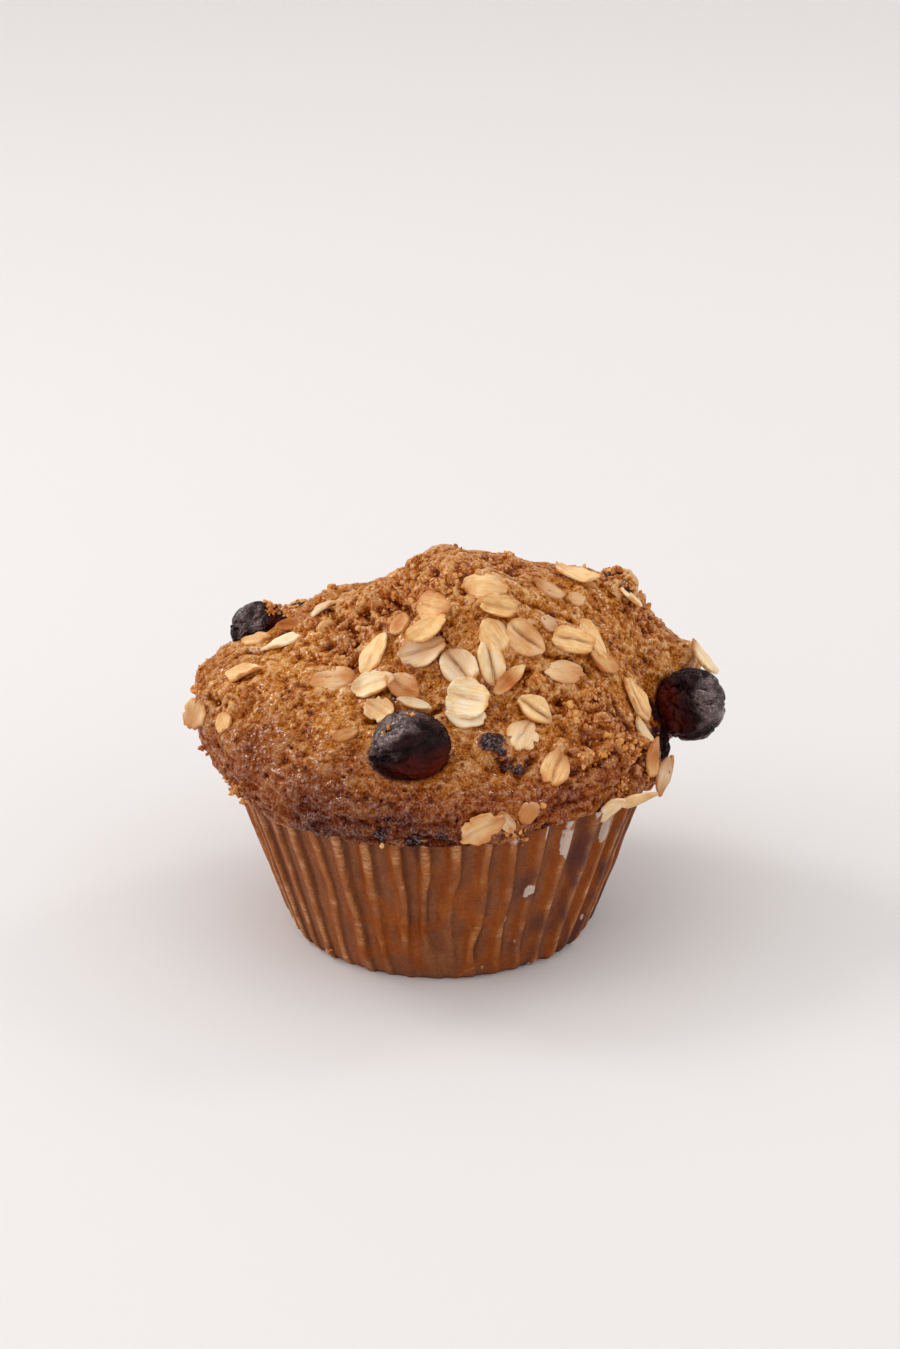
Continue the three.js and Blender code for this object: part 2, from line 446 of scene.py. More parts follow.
def oat_material():
    """Rolled oats. It reads along and across, a spot's place on its flake from -1 to 1, tint, each flake's
    own shade, crease, the dark groove down its middle, rim, its browned edge, and soaked, where it has gone
    dark in the dough."""
    shader = Shader("rolled_oats")
    along, across, tint = (shader.measure(name) for name in ("along", "across", "tint"))
    combine = shader.add("ShaderNodeCombineXYZ")
    for socket, value, factor in zip(combine.inputs, (along, across, tint), (1.2, 9.0, 50.0)):
        shader.links.new(shader.times(value, factor), socket)
    fibre = shader.add("ShaderNodeTexNoise")
    shader.links.new(combine.outputs[0], fibre.inputs["Vector"])
    fibre.inputs["Scale"].default_value = 1.0
    fibre.inputs["Detail"].default_value = 4.0
    fibres = fibre.outputs["Fac"]
    chalk = shader.noise(1.8, detail=3)
    level = shader.scaled(fibres, 0.6, shader.scaled(chalk, 0.5, -0.14))
    level = shader.math("ADD", level, shader.times(tint, 0.3))
    stops = (0.18, 0.36, 0.54, 0.8)
    colour = shader.colours(level, stops, (204, 130, 66), (244, 186, 114), (255, 216, 158), (255, 240, 212))
    patchy = shader.between(shader.noise(3.5, detail=2), 0.45, 0.65)
    colour = shader.tinted(shader.times(shader.measure("rim"), patchy), colour, (226, 188, 140))
    colour = shader.tinted(shader.measure("soaked"), colour, (200, 148, 98))
    groove = shader.times(shader.measure("crease"), shader.between(fibres, 0.25, 0.6))
    colour = shader.mix(groove, colour, linear(150, 84, 36))
    bump = shader.bump(fibres, 0.26)
    bump = shader.bump(shader.noise(0.5, detail=3), 0.1, before=bump)
    return shader.finish(colour, 0.42, bump, Specular_IOR_Level=0.3)


def berry_material():
    """Wrinkled skin, nearly black, painted darker in its wrinkles as painted shade. It reads fold, 0 in a
    wrinkle and 1 on the skin between, a painted greyish sheen on one side, and bare, where the skin is thin
    and the flesh shows through."""
    shader = Shader("berry_skin")
    fold = shader.measure("fold")
    cloud = shader.noise(2.4, detail=4)
    fine = shader.noise(0.6, detail=5, roughness=0.7, distortion=0.8)
    facets = shader.between(shader.spots(2.0, "DISTANCE_TO_EDGE", shader.warped(1.3, 1.8)), 0.0, 0.25)
    # The skin is painted darker in its wrinkles: painted shade.
    level = shader.scaled(cloud, 0.5, shader.times(fold, 0.3))
    stops = (0.2, 0.5, 0.75)
    skin = shader.colours(level, stops, (14, 2, 4), (30, 9, 12), (48, 20, 24))
    # A greyish sheen is painted on one side: painted reflection.
    sheen = shader.times(shader.measure("painted_sheen"), shader.between(fine, 0.4, 0.66))
    skin = shader.mix(sheen, skin, linear(142, 104, 96))
    flesh = shader.mix(cloud, linear(44, 8, 6), linear(100, 26, 10))
    colour = shader.mix(shader.measure("bare"), skin, flesh)
    bump = shader.bump(fine, 0.05)
    bump = shader.bump(facets, 0.13, before=bump)
    glossy = shader.scaled(shader.measure("painted_sheen"), 0.92, 0.08)
    shader.join(glossy, shader.principled.inputs["Specular IOR Level"])
    roughness = shader.scaled(fine, 0.3, 0.02)
    return shader.finish(colour, roughness, bump)


def paper_material():
    """Greaseproof paper that has taken up fat. It reads crest, orange and shade, the lighter edge of a pleat,
    partly paper with less fat and partly painted highlight, the darker orange band before it, painted shade
    where the fat also shows through, and the painted shade behind it, folded, the creases of the crumpled
    front, painted orange as shade with a painted highlight along their tops, dry, the patches without fat,
    and stain, the juice."""
    shader = Shader("greaseproof_paper")
    mottle = shader.noise(0.5, detail=4, roughness=0.7)
    drawn = shader.noise(1.6, detail=4, vector=shader.stretched(1, 1, 4))
    cloud = shader.noise(6, detail=3)
    level = shader.scaled(drawn, 0.45, shader.times(cloud, 0.35))
    level = shader.math("ADD", level, shader.scaled(mottle, 0.5, -0.15))
    stops = (0.25, 0.5, 0.75)
    plane = shader.colours(level, stops, (104, 53, 25), (129, 72, 38), (155, 99, 59))
    shaded_orange = shader.colours(level, stops, (114, 48, 0), (142, 68, 6), (166, 92, 24))
    edge = shader.colours(level, stops, (138, 70, 22), (158, 90, 38), (182, 118, 66))
    rough = shader.scaled(drawn, 0.6, -0.3)
    # The band before each crest is a darker orange: painted shade, where the fat also shows through.
    orange = shader.between(shader.scaled(rough, 0.8, shader.measure("orange")), 0.05, 0.8)
    colour = shader.mix(orange, plane, shaded_orange)
    # The edge of a pleat is lighter, more so in fine creases that run across it: partly paper rubbed free
    # of fat, partly painted highlight.
    creases = shader.noise(0.9, detail=4, roughness=0.7, vector=shader.stretched(3, 3, 0.6))
    rubbed_and_highlit = shader.between(creases, 0.4, 0.62)
    worn = shader.between(cloud, 0.44, 0.62)
    edge = shader.mix(shader.times(rubbed_and_highlit, worn), edge, linear(202, 146, 102))
    crest = shader.between(shader.scaled(rough, 1.2, shader.measure("crest")), 0.1, 1.0)
    colour = shader.mix(crest, colour, edge)
    shade = shader.times(shader.measure("shade"), 0.6)
    colour = shader.mix(shade, colour, linear(78, 34, 12))
    # The creases of the crumpled front are painted orange, with a lighter line along their tops: painted
    # shade and painted highlight.
    folded = shader.measure("folded")
    colour = shader.mix(shader.times(shader.between(folded, 0.05, 0.6), 0.85), colour, shaded_orange)
    colour = shader.mix(shader.times(shader.between(folded, 0.86, 1.0), 0.5), colour, edge)
    juice = shader.mix(mottle, linear(58, 28, 26), linear(96, 56, 48))
    colour = shader.mix(shader.measure("stain"), colour, juice)
    dry = shader.between(shader.scaled(mottle, 0.5, shader.measure("dry")), 0.6, 0.85)
    colour = shader.mix(shader.times(dry, 0.85), colour, linear(206, 186, 174))
    crinkle = shader.noise(0.9, detail=2, vector=shader.stretched(3, 3, 0.8))
    bump = shader.bump(mottle, 0.1)
    bump = shader.bump(drawn, 0.3, before=bump)
    bump = shader.bump(crinkle, 0.35, before=bump)
    roughness = shader.scaled(cloud, 0.25, 0.36)
    return shader.finish(colour, roughness, bump, Specular_IOR_Level=0.18)


# ---------------------------------------------------------------- the crust


# Each list of places below gives the column and row of a place's middle in the photograph, its radius in
# millimetres and how strong it is, from 0 to 1. Here the top is torn open and crumbly.
CRUMBLY_PLACES = [
    (445, 575, 8, 1.0),
    (400, 590, 6.5, 1.0),
    (365, 625, 6.5, 1.0),
    (345, 655, 5, 0.9),
    (330, 620, 4.5, 0.9),
    (500, 563, 5, 0.9),
    (600, 715, 5.5, 0.9),
    (640, 755, 6, 1.0),
    (570, 705, 3.5, 0.9),
    (585, 757, 3, 0.9),
    (535, 680, 3, 0.9),
    (196, 724, 6.5, 1.0),
    (210, 760, 5, 1.0),
    (226, 784, 4, 1.0),
    (240, 697, 4, 0.8),
    (645, 615, 6, 0.9),
    (600, 580, 4, 0.6),
    (300, 700, 4, 0.5),
    (395, 700, 4, 0.6),
]
# Where it is baked darker and smoother.
BROWNED_PLACES = [
    (262, 748, 8, 1.0),
    (305, 792, 9, 0.8),
    (240, 655, 7, 0.4),
    (345, 640, 4, 0.5),
    (600, 690, 5, 0.3),
]
# Where it is darkest, along the lower edge at the front: partly a darker bake, partly painted shade.
DARKER_BAKE_AND_SHADE_PLACES = [
    (320, 815, 6, 0.7),
    (350, 828, 6, 0.9),
    (400, 834, 6, 1.0),
    (440, 838, 5, 0.9),
    (475, 842, 4, 0.6),
    (530, 838, 4, 0.6),
]
# Where berry juice has soaked in.
JUICE_PLACES = [
    (493, 738, 2.4, 1.0),
    (500, 752, 2.2, 0.6),
    (508, 764, 2.1, 0.6),
    (519, 769, 1.8, 0.6),
    (528, 760, 1.4, 0.5),
    (492, 771, 1.4, 0.5),
    (380, 833, 2.0, 0.6),
    (368, 826, 1.5, 0.5),
    (414, 842, 1.8, 0.7),
    (441, 838, 1.4, 0.5),
    (653, 712, 2.6, 1.0),
    (655, 736, 2.4, 1.0),
    (663, 689, 2.0, 0.8),
    (614, 575, 1.7, 0.9),
    (626, 588, 1.5, 0.9),
    (400, 697, 1.5, 0.7),
    (474, 822, 1.2, 0.6),
]
# Clods that stand out of the crust, and dips: column and row of the middle, radius and height in millimetres.
CLODS = [
    (440, 572, 4.2, 0.8),
    (470, 560, 3.2, 0.6),
    (350, 582, 4.5, -1.8),
    (322, 598, 3.5, -1.2),
    (298, 598, 3.0, -1.6),
    (238, 618, 3.5, -1.6),
    (635, 582, 2.6, -1.4),
    (412, 560, 1.8, 0.9),
    (506, 562, 2.4, 0.9),
    (377, 600, 3.0, 1.5),
    (398, 583, 2.6, 1.0),
    (332, 622, 2.6, 0.9),
    (345, 600, 2.6, 0.8),
    (205, 725, 2.6, 1.1),
    (238, 700, 2.2, 0.7),
    (591, 698, 2.2, 1.3),
    (573, 722, 1.7, 1.0),
    (612, 737, 2.4, 1.2),
    (640, 745, 2.6, 1.3),
    (603, 754, 1.8, 1.0),
    (585, 757, 1.8, 1.1),
    (536, 681, 1.6, 1.2),
    (655, 612, 2.2, 1.4),
    (684, 655, 3.0, 2.6),
    (200, 738, 1.5, 1.5),
    (206, 757, 1.3, 1.3),
    (216, 774, 1.4, 1.5),
    (226, 786, 1.1, 1.1),
    (196, 722, 1.2, 0.9),
    (212, 700, 1.2, 0.8),
    (640, 604, 1.8, 1.1),
    (652, 778, 2.2, 1.2),
    (562, 745, 1.6, 0.6),
    (350, 690, 2.0, 0.6),
    (318, 700, 2.4, 0.5),
]
# Cracks and hollows: depth and half width in millimetres, then the pixels they run through.
CREVICES = [
    (1.7, 1.0, [(325, 612), (340, 622)]),
    (2.0, 0.9, [(350, 626), (357, 642), (344, 654)]),
    (1.6, 1.0, [(384, 612), (398, 604), (412, 612)]),
    (1.6, 0.9, [(366, 612), (372, 624)]),
    (1.1, 1.0, [(330, 645), (318, 655), (300, 658)]),
    (1.9, 0.8, [(207, 696), (220, 703)]),
    (1.4, 0.7, [(247, 650), (262, 651)]),
    (1.0, 0.8, [(506, 590), (540, 606), (575, 620), (600, 632)]),
    (1.2, 0.8, [(545, 655), (566, 660), (590, 672)]),
    (1.2, 0.7, [(560, 700), (575, 706)]),
    (1.3, 0.8, [(573, 772), (600, 762), (612, 752)]),
    (1.1, 0.6, [(430, 716), (441, 709)]),
    (0.8, 0.9, [(225, 724), (246, 712), (262, 700)]),
    (1.0, 0.7, [(640, 655), (655, 668)]),
    (1.3, 0.7, [(612, 700), (618, 716), (628, 728)]),
    (0.6, 1.2, [(283, 757), (330, 788), (395, 808)]),
    (1.0, 0.8, [(498, 762), (520, 774), (533, 758)]),
]
# Berries that the crust nearly covers, each with the places where it shows: column, row and radius in
# millimetres.
COVERED_BERRIES = {
    "berry_front_sunk": [(493, 736, 1.9), (497, 746, 1.2)],
    "berry_top_sunk": [(613, 575, 1.0), (624, 583, 1.3), (627, 592, 1.0)],
    "berry_back_sunk": [(304, 606, 1.6)],
}
# How thick the crust over such a berry is, and how far round a berry its socket is filled, in millimetres.
COVER_THICKNESS, SOCKET_MARGIN = 0.5, 0.75
# How far below the rim of the case the crust is cut off, and up to where it keeps its even shape.
CUT_BELOW_RIM, FREE_BELOW_RIM = 3.5, 3.0
# The crust's unevenness: how far each kind reaches and about how large it is across, in millimetres.
LUMP_REACH, LUMP_SIZE = 0.85, 12
SWELL_REACH, SWELL_SIZE = 0.75, 5.5
CRAG_SIZE = 4.6
CLOD_SIZE, NUB_SIZE, BIT_SIZE, GRAIN_SIZE = 2.2, 1.9, 1.0, 0.75
PIT_DEPTH, PIT_SPACING = 0.7, 1.6
BUBBLE_DEPTH, BUBBLE_SPACING = 0.9, 4.2
TEAR_DEPTH, TEAR_SIZE = 1.8, 3.4
LEDGE_HEIGHT, LEDGE_SIZE = 1.3, 6.5
WRINKLE_REACH, WRINKLE_SIZE = 0.8, 4.2


def nearness(points, surface, places):
    """From 0 to 1: how near each point is to one of the places, given by pixel, radius and strength."""
    best = np.zeros(len(points))
    for column, row, radius, strength in places:
        found = surface.seen_at(column, row)
        if found is None:
            continue
        away = np.linalg.norm(points - found[0], axis=1)
        best = np.maximum(best, strength * bell(away, radius))
    return best


def crevice_depth(points, surface):
    """How deep each point lies in one of the crevices, in millimetres."""
    depth = np.zeros(len(points))
    uneven = 0.75 + 0.5 * smooth_noise(points, 1.6, 91)
    for deep, half_width, pixels in CREVICES:
        stops = [found[0] for found in (surface.seen_at(*pixel) for pixel in pixels) if found is not None]
        for first, last in zip(stops, stops[1:]):
            along = last - first
            share = np.clip((points - first) @ along / max(along @ along, 1e-9), 0, 1)
            away = np.linalg.norm(points - first - share[:, None] * along, axis=1)
            depth = np.maximum(depth, deep * uneven * bell(away, half_width))
    return depth


class Berry:
    """A berry's place and size, from its CAD node's box."""

    def __init__(self, name):
        low, high = (np.array(corner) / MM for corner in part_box(name))
        self.name = name
        self.centre = (low + high) / 2
        self.half = (high - low) / 2

    def distance(self, points):
        """About how far each point lies outside the berry, in millimetres."""
        away = np.linalg.norm((points - self.centre) / self.half, axis=1)
        return (away - 1) * self.half.mean()


def berry_distance(points, berries):
    """About how far each point lies outside the nearest of the berries, in millimetres."""
    return np.min([berry.distance(points) for berry in berries], axis=0)


def remeshed_cake():
    """The cake's CAD mesh as small, even faces: vertices and faces of four corners."""
    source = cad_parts["cake"]
    copy = bpy.data.objects.new("cake_grain", source.data.copy())
    bpy.context.scene.collection.objects.link(copy)
    remesh = copy.modifiers.new("grain", "REMESH")
    remesh.mode = "VOXEL"
    remesh.voxel_size = VOXEL_MM * MM
    graph = bpy.context.evaluated_depsgraph_get()
    mesh = bpy.data.meshes.new_from_object(copy.evaluated_get(graph))
    bpy.data.objects.remove(copy)
    vertices = vertices_of(mesh) / MM
    loops = np.zeros(len(mesh.loops), np.int64)
    mesh.loops.foreach_get("vertex_index", loops)
    bpy.data.meshes.remove(mesh)
    return vertices, loops.reshape(-1, 4)


def corner_pairs(quads):
    """The two ends of each face's four sides, in the order that they run round it."""
    return np.concatenate([quads[:, [k, (k + 1) % 4]] for k in range(4)])


def split(quads):
    """Each face of four corners as two triangles."""
    return np.concatenate([quads[:, [0, 1, 2]], quads[:, [0, 2, 3]]])


def without_unused(vertices, faces):
    """The vertices that the faces use, and the faces by their new numbers."""
    used = np.unique(faces)
    renumbered = np.full(len(vertices), -1)
    renumbered[used] = np.arange(len(used))
    return vertices[used], renumbered[faces]


def smooth_dough(berries):
    """The dough's even outside before it is roughened: vertices, quads, edges and which vertices stay."""
    vertices, quads = remeshed_cake()
    # Only the part from just below the rim of the case up is kept at this grain.
    radius = np.hypot(vertices[:, 0], vertices[:, 1])
    inside_case = (vertices[:, 2] < CASE_HEIGHT - CUT_BELOW_RIM) & (radius < CASE_RADIUS)
    vertices, quads = without_unused(vertices, quads[~inside_case[quads].all(axis=1)])
    edges = np.unique(np.sort(corner_pairs(quads), axis=1), axis=0)
    fixed = vertices[:, 2] < CASE_HEIGHT - FREE_BELOW_RIM
    # The sockets of the berries are filled, so that the dough closes up to each berry.
    in_socket = berry_distance(vertices, berries) < SOCKET_MARGIN
    vertices = relaxed(vertices, edges, in_socket & ~fixed, 600)
    vertices = relaxed(vertices, edges, ~fixed, 14)
    return vertices, quads, edges, fixed


def cover_berries(vertices, normals, berries):
    """The vertices, with those inside a berry that the crust nearly covers moved out to lie over it."""
    covered = vertices.copy()
    for berry in berries:
        if berry.name not in COVERED_BERRIES:
            continue
        shown = np.zeros(len(vertices))
        for column, row, radius in COVERED_BERRIES[berry.name]:
            _, away = off_sight_line(vertices, column, row)
            shown = np.maximum(shown, bell(away, radius))
        cover = COVER_THICKNESS + 0.25 * smooth_noise(vertices, 2.0, 95) - 3.0 * shown
        # Each vertex moves away from a point low in the berry, as far as the berry's covered outside.
        upwards = unit(normals[berry.distance(vertices) < 3].mean(axis=0))
        low = berry.centre - 0.9 * berry.half.min() * upwards
        reach = np.linalg.norm(vertices - low, axis=1)
        direction = (vertices - low) / reach[:, None]
        half = np.maximum(berry.half + cover[:, None], 0.5)
        ray, start = direction / half, (low - berry.centre) / half
        slope = np.sum(ray * start, axis=1)
        square = np.sum(ray * ray, axis=1)
        under_root = slope**2 - square * (np.sum(start * start, axis=1) - 1)
        outside = (np.sqrt(np.maximum(under_root, 0)) - slope) / square
        moves = (outside > reach) & (under_root > 0) & (direction @ upwards > 0)
        covered[moves] = low + direction[moves] * outside[moves, None]
    return covered


def domes(points, size, seed):
    """Rounded lumps about size across that touch, from 0 between them to 1 on top."""
    nearest, own = grains(points, size, seed)
    return np.sqrt(np.clip(1 - (nearest / 0.75) ** 2, 0, 1)) * (0.6 + 0.6 * own)


def crust_detail(points, surface, berries):
    """How far each point of the crust moves outwards, and the measures that its material reads."""
    warped = points + 0.45 * three_noises(points, 1.7, 51)
    unseen = ramp(points[:, 1], 8, 22)
    patchy = layered_noise(points, 14, 31)
    crumbly = np.maximum(nearness(points, surface, CRUMBLY_PLACES), unseen * ramp(patchy, -0.1, 0.45))
    crumbly = np.clip(crumbly * (0.85 + 0.6 * layered_noise(points, 4, 33)) + 0.12 * patchy, 0, 1)
    browned = np.clip(nearness(points, surface, BROWNED_PLACES) + unseen * ramp(-patchy, 0.0, 0.6), 0, 1)
    crumbly = crumbly * (1 - 0.8 * browned)
    # Lumps, from as large as a berry down to single grains of crumb.
    lumps = LUMP_REACH * layered_noise(points, LUMP_SIZE, 1, 2)
    swells = SWELL_REACH * layered_noise(points, SWELL_SIZE, 5, 3)
    crags = (0.3 - np.abs(layered_noise(warped, CRAG_SIZE, 9, 2))) * (0.6 + 1.9 * crumbly)
    clods = (domes(warped, CLOD_SIZE, 13) - 0.5) * (0.08 + 1.0 * crumbly)
    bits = (domes(warped, BIT_SIZE, 17) - 0.5) * (0.12 + 0.8 * crumbly)
    nubs = 0.22 * layered_noise(points, NUB_SIZE, 22, 2)
    grain = 0.15 * smooth_noise(points, GRAIN_SIZE, 21) + nubs
    # Pores: small pits, some of them open bubbles.
    pit_place, pit_own = grains(warped, PIT_SPACING, 25)
    pits = -PIT_DEPTH * (pit_own < 0.3) * (1 - ramp(pit_place, 0.04, 0.12 + 0.8 * pit_own))
    bubble_place, bubble_own = grains(warped, BUBBLE_SPACING, 29)
    bubbles = -BUBBLE_DEPTH * (bubble_own < 0.2) * (1 - ramp(bubble_place, 0.05, 0.17))
    tears = -TEAR_DEPTH * crumbly * ramp(-layered_noise(warped, TEAR_SIZE, 35, 2), 0.25, 0.7)
    ledges = LEDGE_HEIGHT * crumbly * (ramp(layered_noise(warped, LEDGE_SIZE, 37, 2), -0.07, 0.07) - 0.5)
    # Low down the crust is drawn into fine wrinkles that run round it.
    low_down = 1 - ramp(points[:, 2], 36, 47)
    rings = np.abs(layered_noise(points * [1, 1, 2.4], WRINKLE_SIZE, 49, 2))
    wrinkles = WRINKLE_REACH * low_down * (0.2 - rings)
    small = clods + bits + grain + pits + bubbles + tears + ledges + wrinkles
    outwards = lumps + swells + crags + small - crevice_depth(points, surface)
    for column, row, radius, height in CLODS:
        found = surface.seen_at(column, row)
        if found is not None:
            away = np.linalg.norm(warped - found[0], axis=1) / radius
            outwards += height * np.exp(-(away**4))
    # The dough rises a little where it meets a berry that stands free, and stays calm there.
    free = [berry for berry in berries if berry.name not in COVERED_BERRIES]
    nearest_berry = berry_distance(points, free)
    calm = ramp(nearest_berry, 0, 2.5)
    outwards = outwards * (0.3 + 0.7 * calm) + 0.6 * bell(nearest_berry, 1.3)
    juice = nearness(points, surface, JUICE_PLACES) * (1 + 1.2 * layered_noise(points, 1.1, 41, 2))
    ringed = 0.8 * bell(nearest_berry, 0.6)
    # Darker along the lower edge at the front and low down all round: partly a darker bake, partly painted
    # shade where the crust meets the case.
    dark = nearness(points, surface, DARKER_BAKE_AND_SHADE_PLACES) * (1 + 0.5 * smooth_noise(points, 2.5, 43))
    low_band = 1 - ramp(points[:, 2], 33, 38)
    dark = dark + 0.45 * low_band * ramp(layered_noise(points, 9, 47), -0.3, 0.5)
    # Darker lower down: partly a darker bake, partly painted shade.
    toast_and_shade = 1 - ramp(points[:, 2] + 2.5 * layered_noise(points, 8, 45), 38, 49)
    measures = {
        "crumbly": crumbly,
        "toast_and_shade": toast_and_shade * (1 - 0.8 * crumbly),
        "browned": browned,
        "dark": np.clip(dark, 0, 1),
        "juice": np.maximum(ramp(juice, 0.1, 0.85), ringed),
    }
    return outwards, measures


def closed_below(vertices, quads, measures):
    """The crust with faces that carry its open lower edge down to the cake's flat foot."""
    pairs = corner_pairs(quads)
    keys = pairs.min(axis=1) * (pairs.max() + 1) + pairs.max(axis=1)
    _, first, count = np.unique(keys, return_index=True, return_counts=True)
    rim = pairs[first[count == 1]]
    following = dict(zip(rim[:, 0].tolist(), rim[:, 1].tolist()))
    start = int(rim[0, 0])
    loop = [start]
    while following[loop[-1]] != start:
        loop.append(following[loop[-1]])
    foot_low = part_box("cake")[0].z / MM
    foot_share = (FOOT_RADIUS - 1.2) / CASE_RADIUS
    foot = vertices[loop] * [foot_share, foot_share, 0] + [0, 0, foot_low]
    first_foot = len(vertices)
    size = len(loop)
    around = list(zip(range(size), [*range(1, size), 0]))
    sides = [(loop[after], loop[k], first_foot + k, first_foot + after) for k, after in around]
    cap = [tuple(range(first_foot, first_foot + size))]
    vertices = np.concatenate([vertices, foot])
    grown = {key: np.concatenate([value, value[loop]]) for key, value in measures.items()}
    return vertices, quads.tolist() + sides + cap, grown


def make_crust(berries):
    """The crust, from the cake's CAD mesh: its surface, vertices, triangles and measures."""
    vertices, quads, edges, fixed = smooth_dough(berries)
    triangles = split(quads)
    normals = normals_of(vertices, triangles)
    vertices = cover_berries(vertices, normals, berries)
    vertices = relaxed(vertices, edges, ~fixed, 3)
    normals = normals_of(vertices, triangles)
    outwards, measures = crust_detail(vertices, Surface(vertices, triangles), berries)
    over_case = ramp(vertices[:, 2], CASE_HEIGHT - FREE_BELOW_RIM, CASE_HEIGHT - 0.5) * ~fixed
    vertices = vertices + normals * (outwards * over_case)[:, None]
    vertices[:, 2] = np.minimum(vertices[:, 2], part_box("cake")[1].z / MM + 1.5)
    # How far a spot stands out of the crust close by, and then further around it. The material paints
    # raised spots lighter and hollows darker from these: painted light and shade.
    normals = normals_of(vertices, triangles)
    around = vertices
    for measure, rounds, gain, most in (("height", 10, 1.3, 0.85), ("hollow", 50, 0.5, 0.9)):
        around = relaxed(around, edges, ~fixed, rounds)
        standing = np.sum((vertices - around) * normals, axis=1)
        measures[measure] = np.clip(0.5 + gain * standing, 0, most)
    surface = Surface(vertices, triangles)
    whole, faces, measures = closed_below(vertices, quads, measures)
    piece = make_piece("crust", whole, faces, crust_material(), measures)
    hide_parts("cake")
    return surface, vertices, triangles, measures


# ---------------------------------------------------------------- the berries


# Each berry's look: the way its pointed, wrinkled end faces, how far it is drawn to a point, how wrinkled the
# rest of it is, the way its thin, reddish side faces and the way its side with a painted greyish sheen
# faces.
BERRY_LOOKS = {
    "berry_front": ((-1.0, -0.35, -0.2), 0.6, 0.45, (0.55, -0.4, -0.75), (-0.6, -0.35, 0.75)),
    "berry_right": ((-0.5, -0.5, 0.75), 0.1, 0.35, (-0.9, -0.4, -0.2), (0.7, -0.6, 0.35)),
    "berry_left": ((-0.5, -0.6, -0.3), 0.1, 0.5, (0.8, -0.5, -0.3), (-0.3, -0.75, 0.6)),
}
OTHER_BERRY_LOOK = ((0.2, -0.4, 0.9), 0.1, 0.9, (0.0, 0.0, -1.0), (-0.5, -0.5, 0.3))
# How deep the folds, the fine wrinkles and the dents go, and how far a covered berry lies below its CAD
# node's outside, all as shares of half its size.
FOLD_DEPTH, FINE_DEPTH, DENT_DEPTH, COVERED_DEPTH = 0.15, 0.065, 0.1, 0.12


def sphere(rings, columns):
    """A unit sphere of quads, closed at its poles by triangles: points and faces."""
    points = [(0, 0, -1)]
    for ring in range(1, rings):
        tilt = math.pi * ring / rings
        for column in range(columns):
            turn = 2 * math.pi * column / columns
            points.append((math.sin(tilt) * math.cos(turn), math.sin(tilt) * math.sin(turn), -math.cos(tilt)))
    points.append((0, 0, 1))
    return np.array(points, float), pole_to_pole(len(points), columns)


def make_berry(berry, seed, material):
    """A shrivelled berry: folds run over it, and its own size stays that of its CAD node."""
    tip, point, wrinkled, thin, sheen_side = BERRY_LOOKS.get(berry.name, OTHER_BERRY_LOOK)
    tip = unit(tip)
    points, faces = sphere(84, 112)
    to_tip = points @ tip
    strength = np.clip(wrinkled + ramp(to_tip, -0.1, 0.7), 0, 1)
    # Folds run towards the tip, so the noise they come from is drawn out that way.
    across_tip = points - 0.55 * to_tip[:, None] * tip
    bent = across_tip + 0.12 * three_noises(points, 0.5, seed)
    fold = ramp(np.abs(smooth_noise(bent, 0.3, seed + 5)), 0.0, 0.3)
    fine = ramp(np.abs(smooth_noise(bent, 0.14, seed + 6)), 0, 0.35)
    dents = layered_noise(points, 1.1, seed + 7, 2)
    waist = 1 - point * np.clip(to_tip, 0, 1) ** 2
    along = to_tip[:, None] * tip
    place = along + (points - along) * waist[:, None]
    inwards = strength * (FOLD_DEPTH * (1 - fold) + FINE_DEPTH * (1 - fine))
    inwards = inwards + DENT_DEPTH * np.clip(-dents, 0, 1)
    if berry.name in COVERED_BERRIES:
        inwards = inwards + COVERED_DEPTH
    place = place * berry.half * (1 - inwards)[:, None] + berry.centre
    bare = ramp(points @ unit(thin) + 0.35 * layered_noise(points, 0.6, seed + 9, 2), 0.35, 0.95)
    # A greyish sheen is painted on one side, where the skin is also glossier: painted reflection.
    toward_sheen = points @ unit(sheen_side) + 0.5 * layered_noise(points, 0.5, seed + 11, 3)
    painted_sheen = ramp(toward_sheen, 0.5, 1.05) * (0.55 + 0.45 * fine)
    measures = {"fold": 1 - strength * (1 - fold), "bare": bare, "painted_sheen": painted_sheen}
    piece = make_piece(berry.name + "_skin", place, faces, material, measures)
    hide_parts(berry.name)
    return place, faces


# ---------------------------------------------------------------- the oat flakes


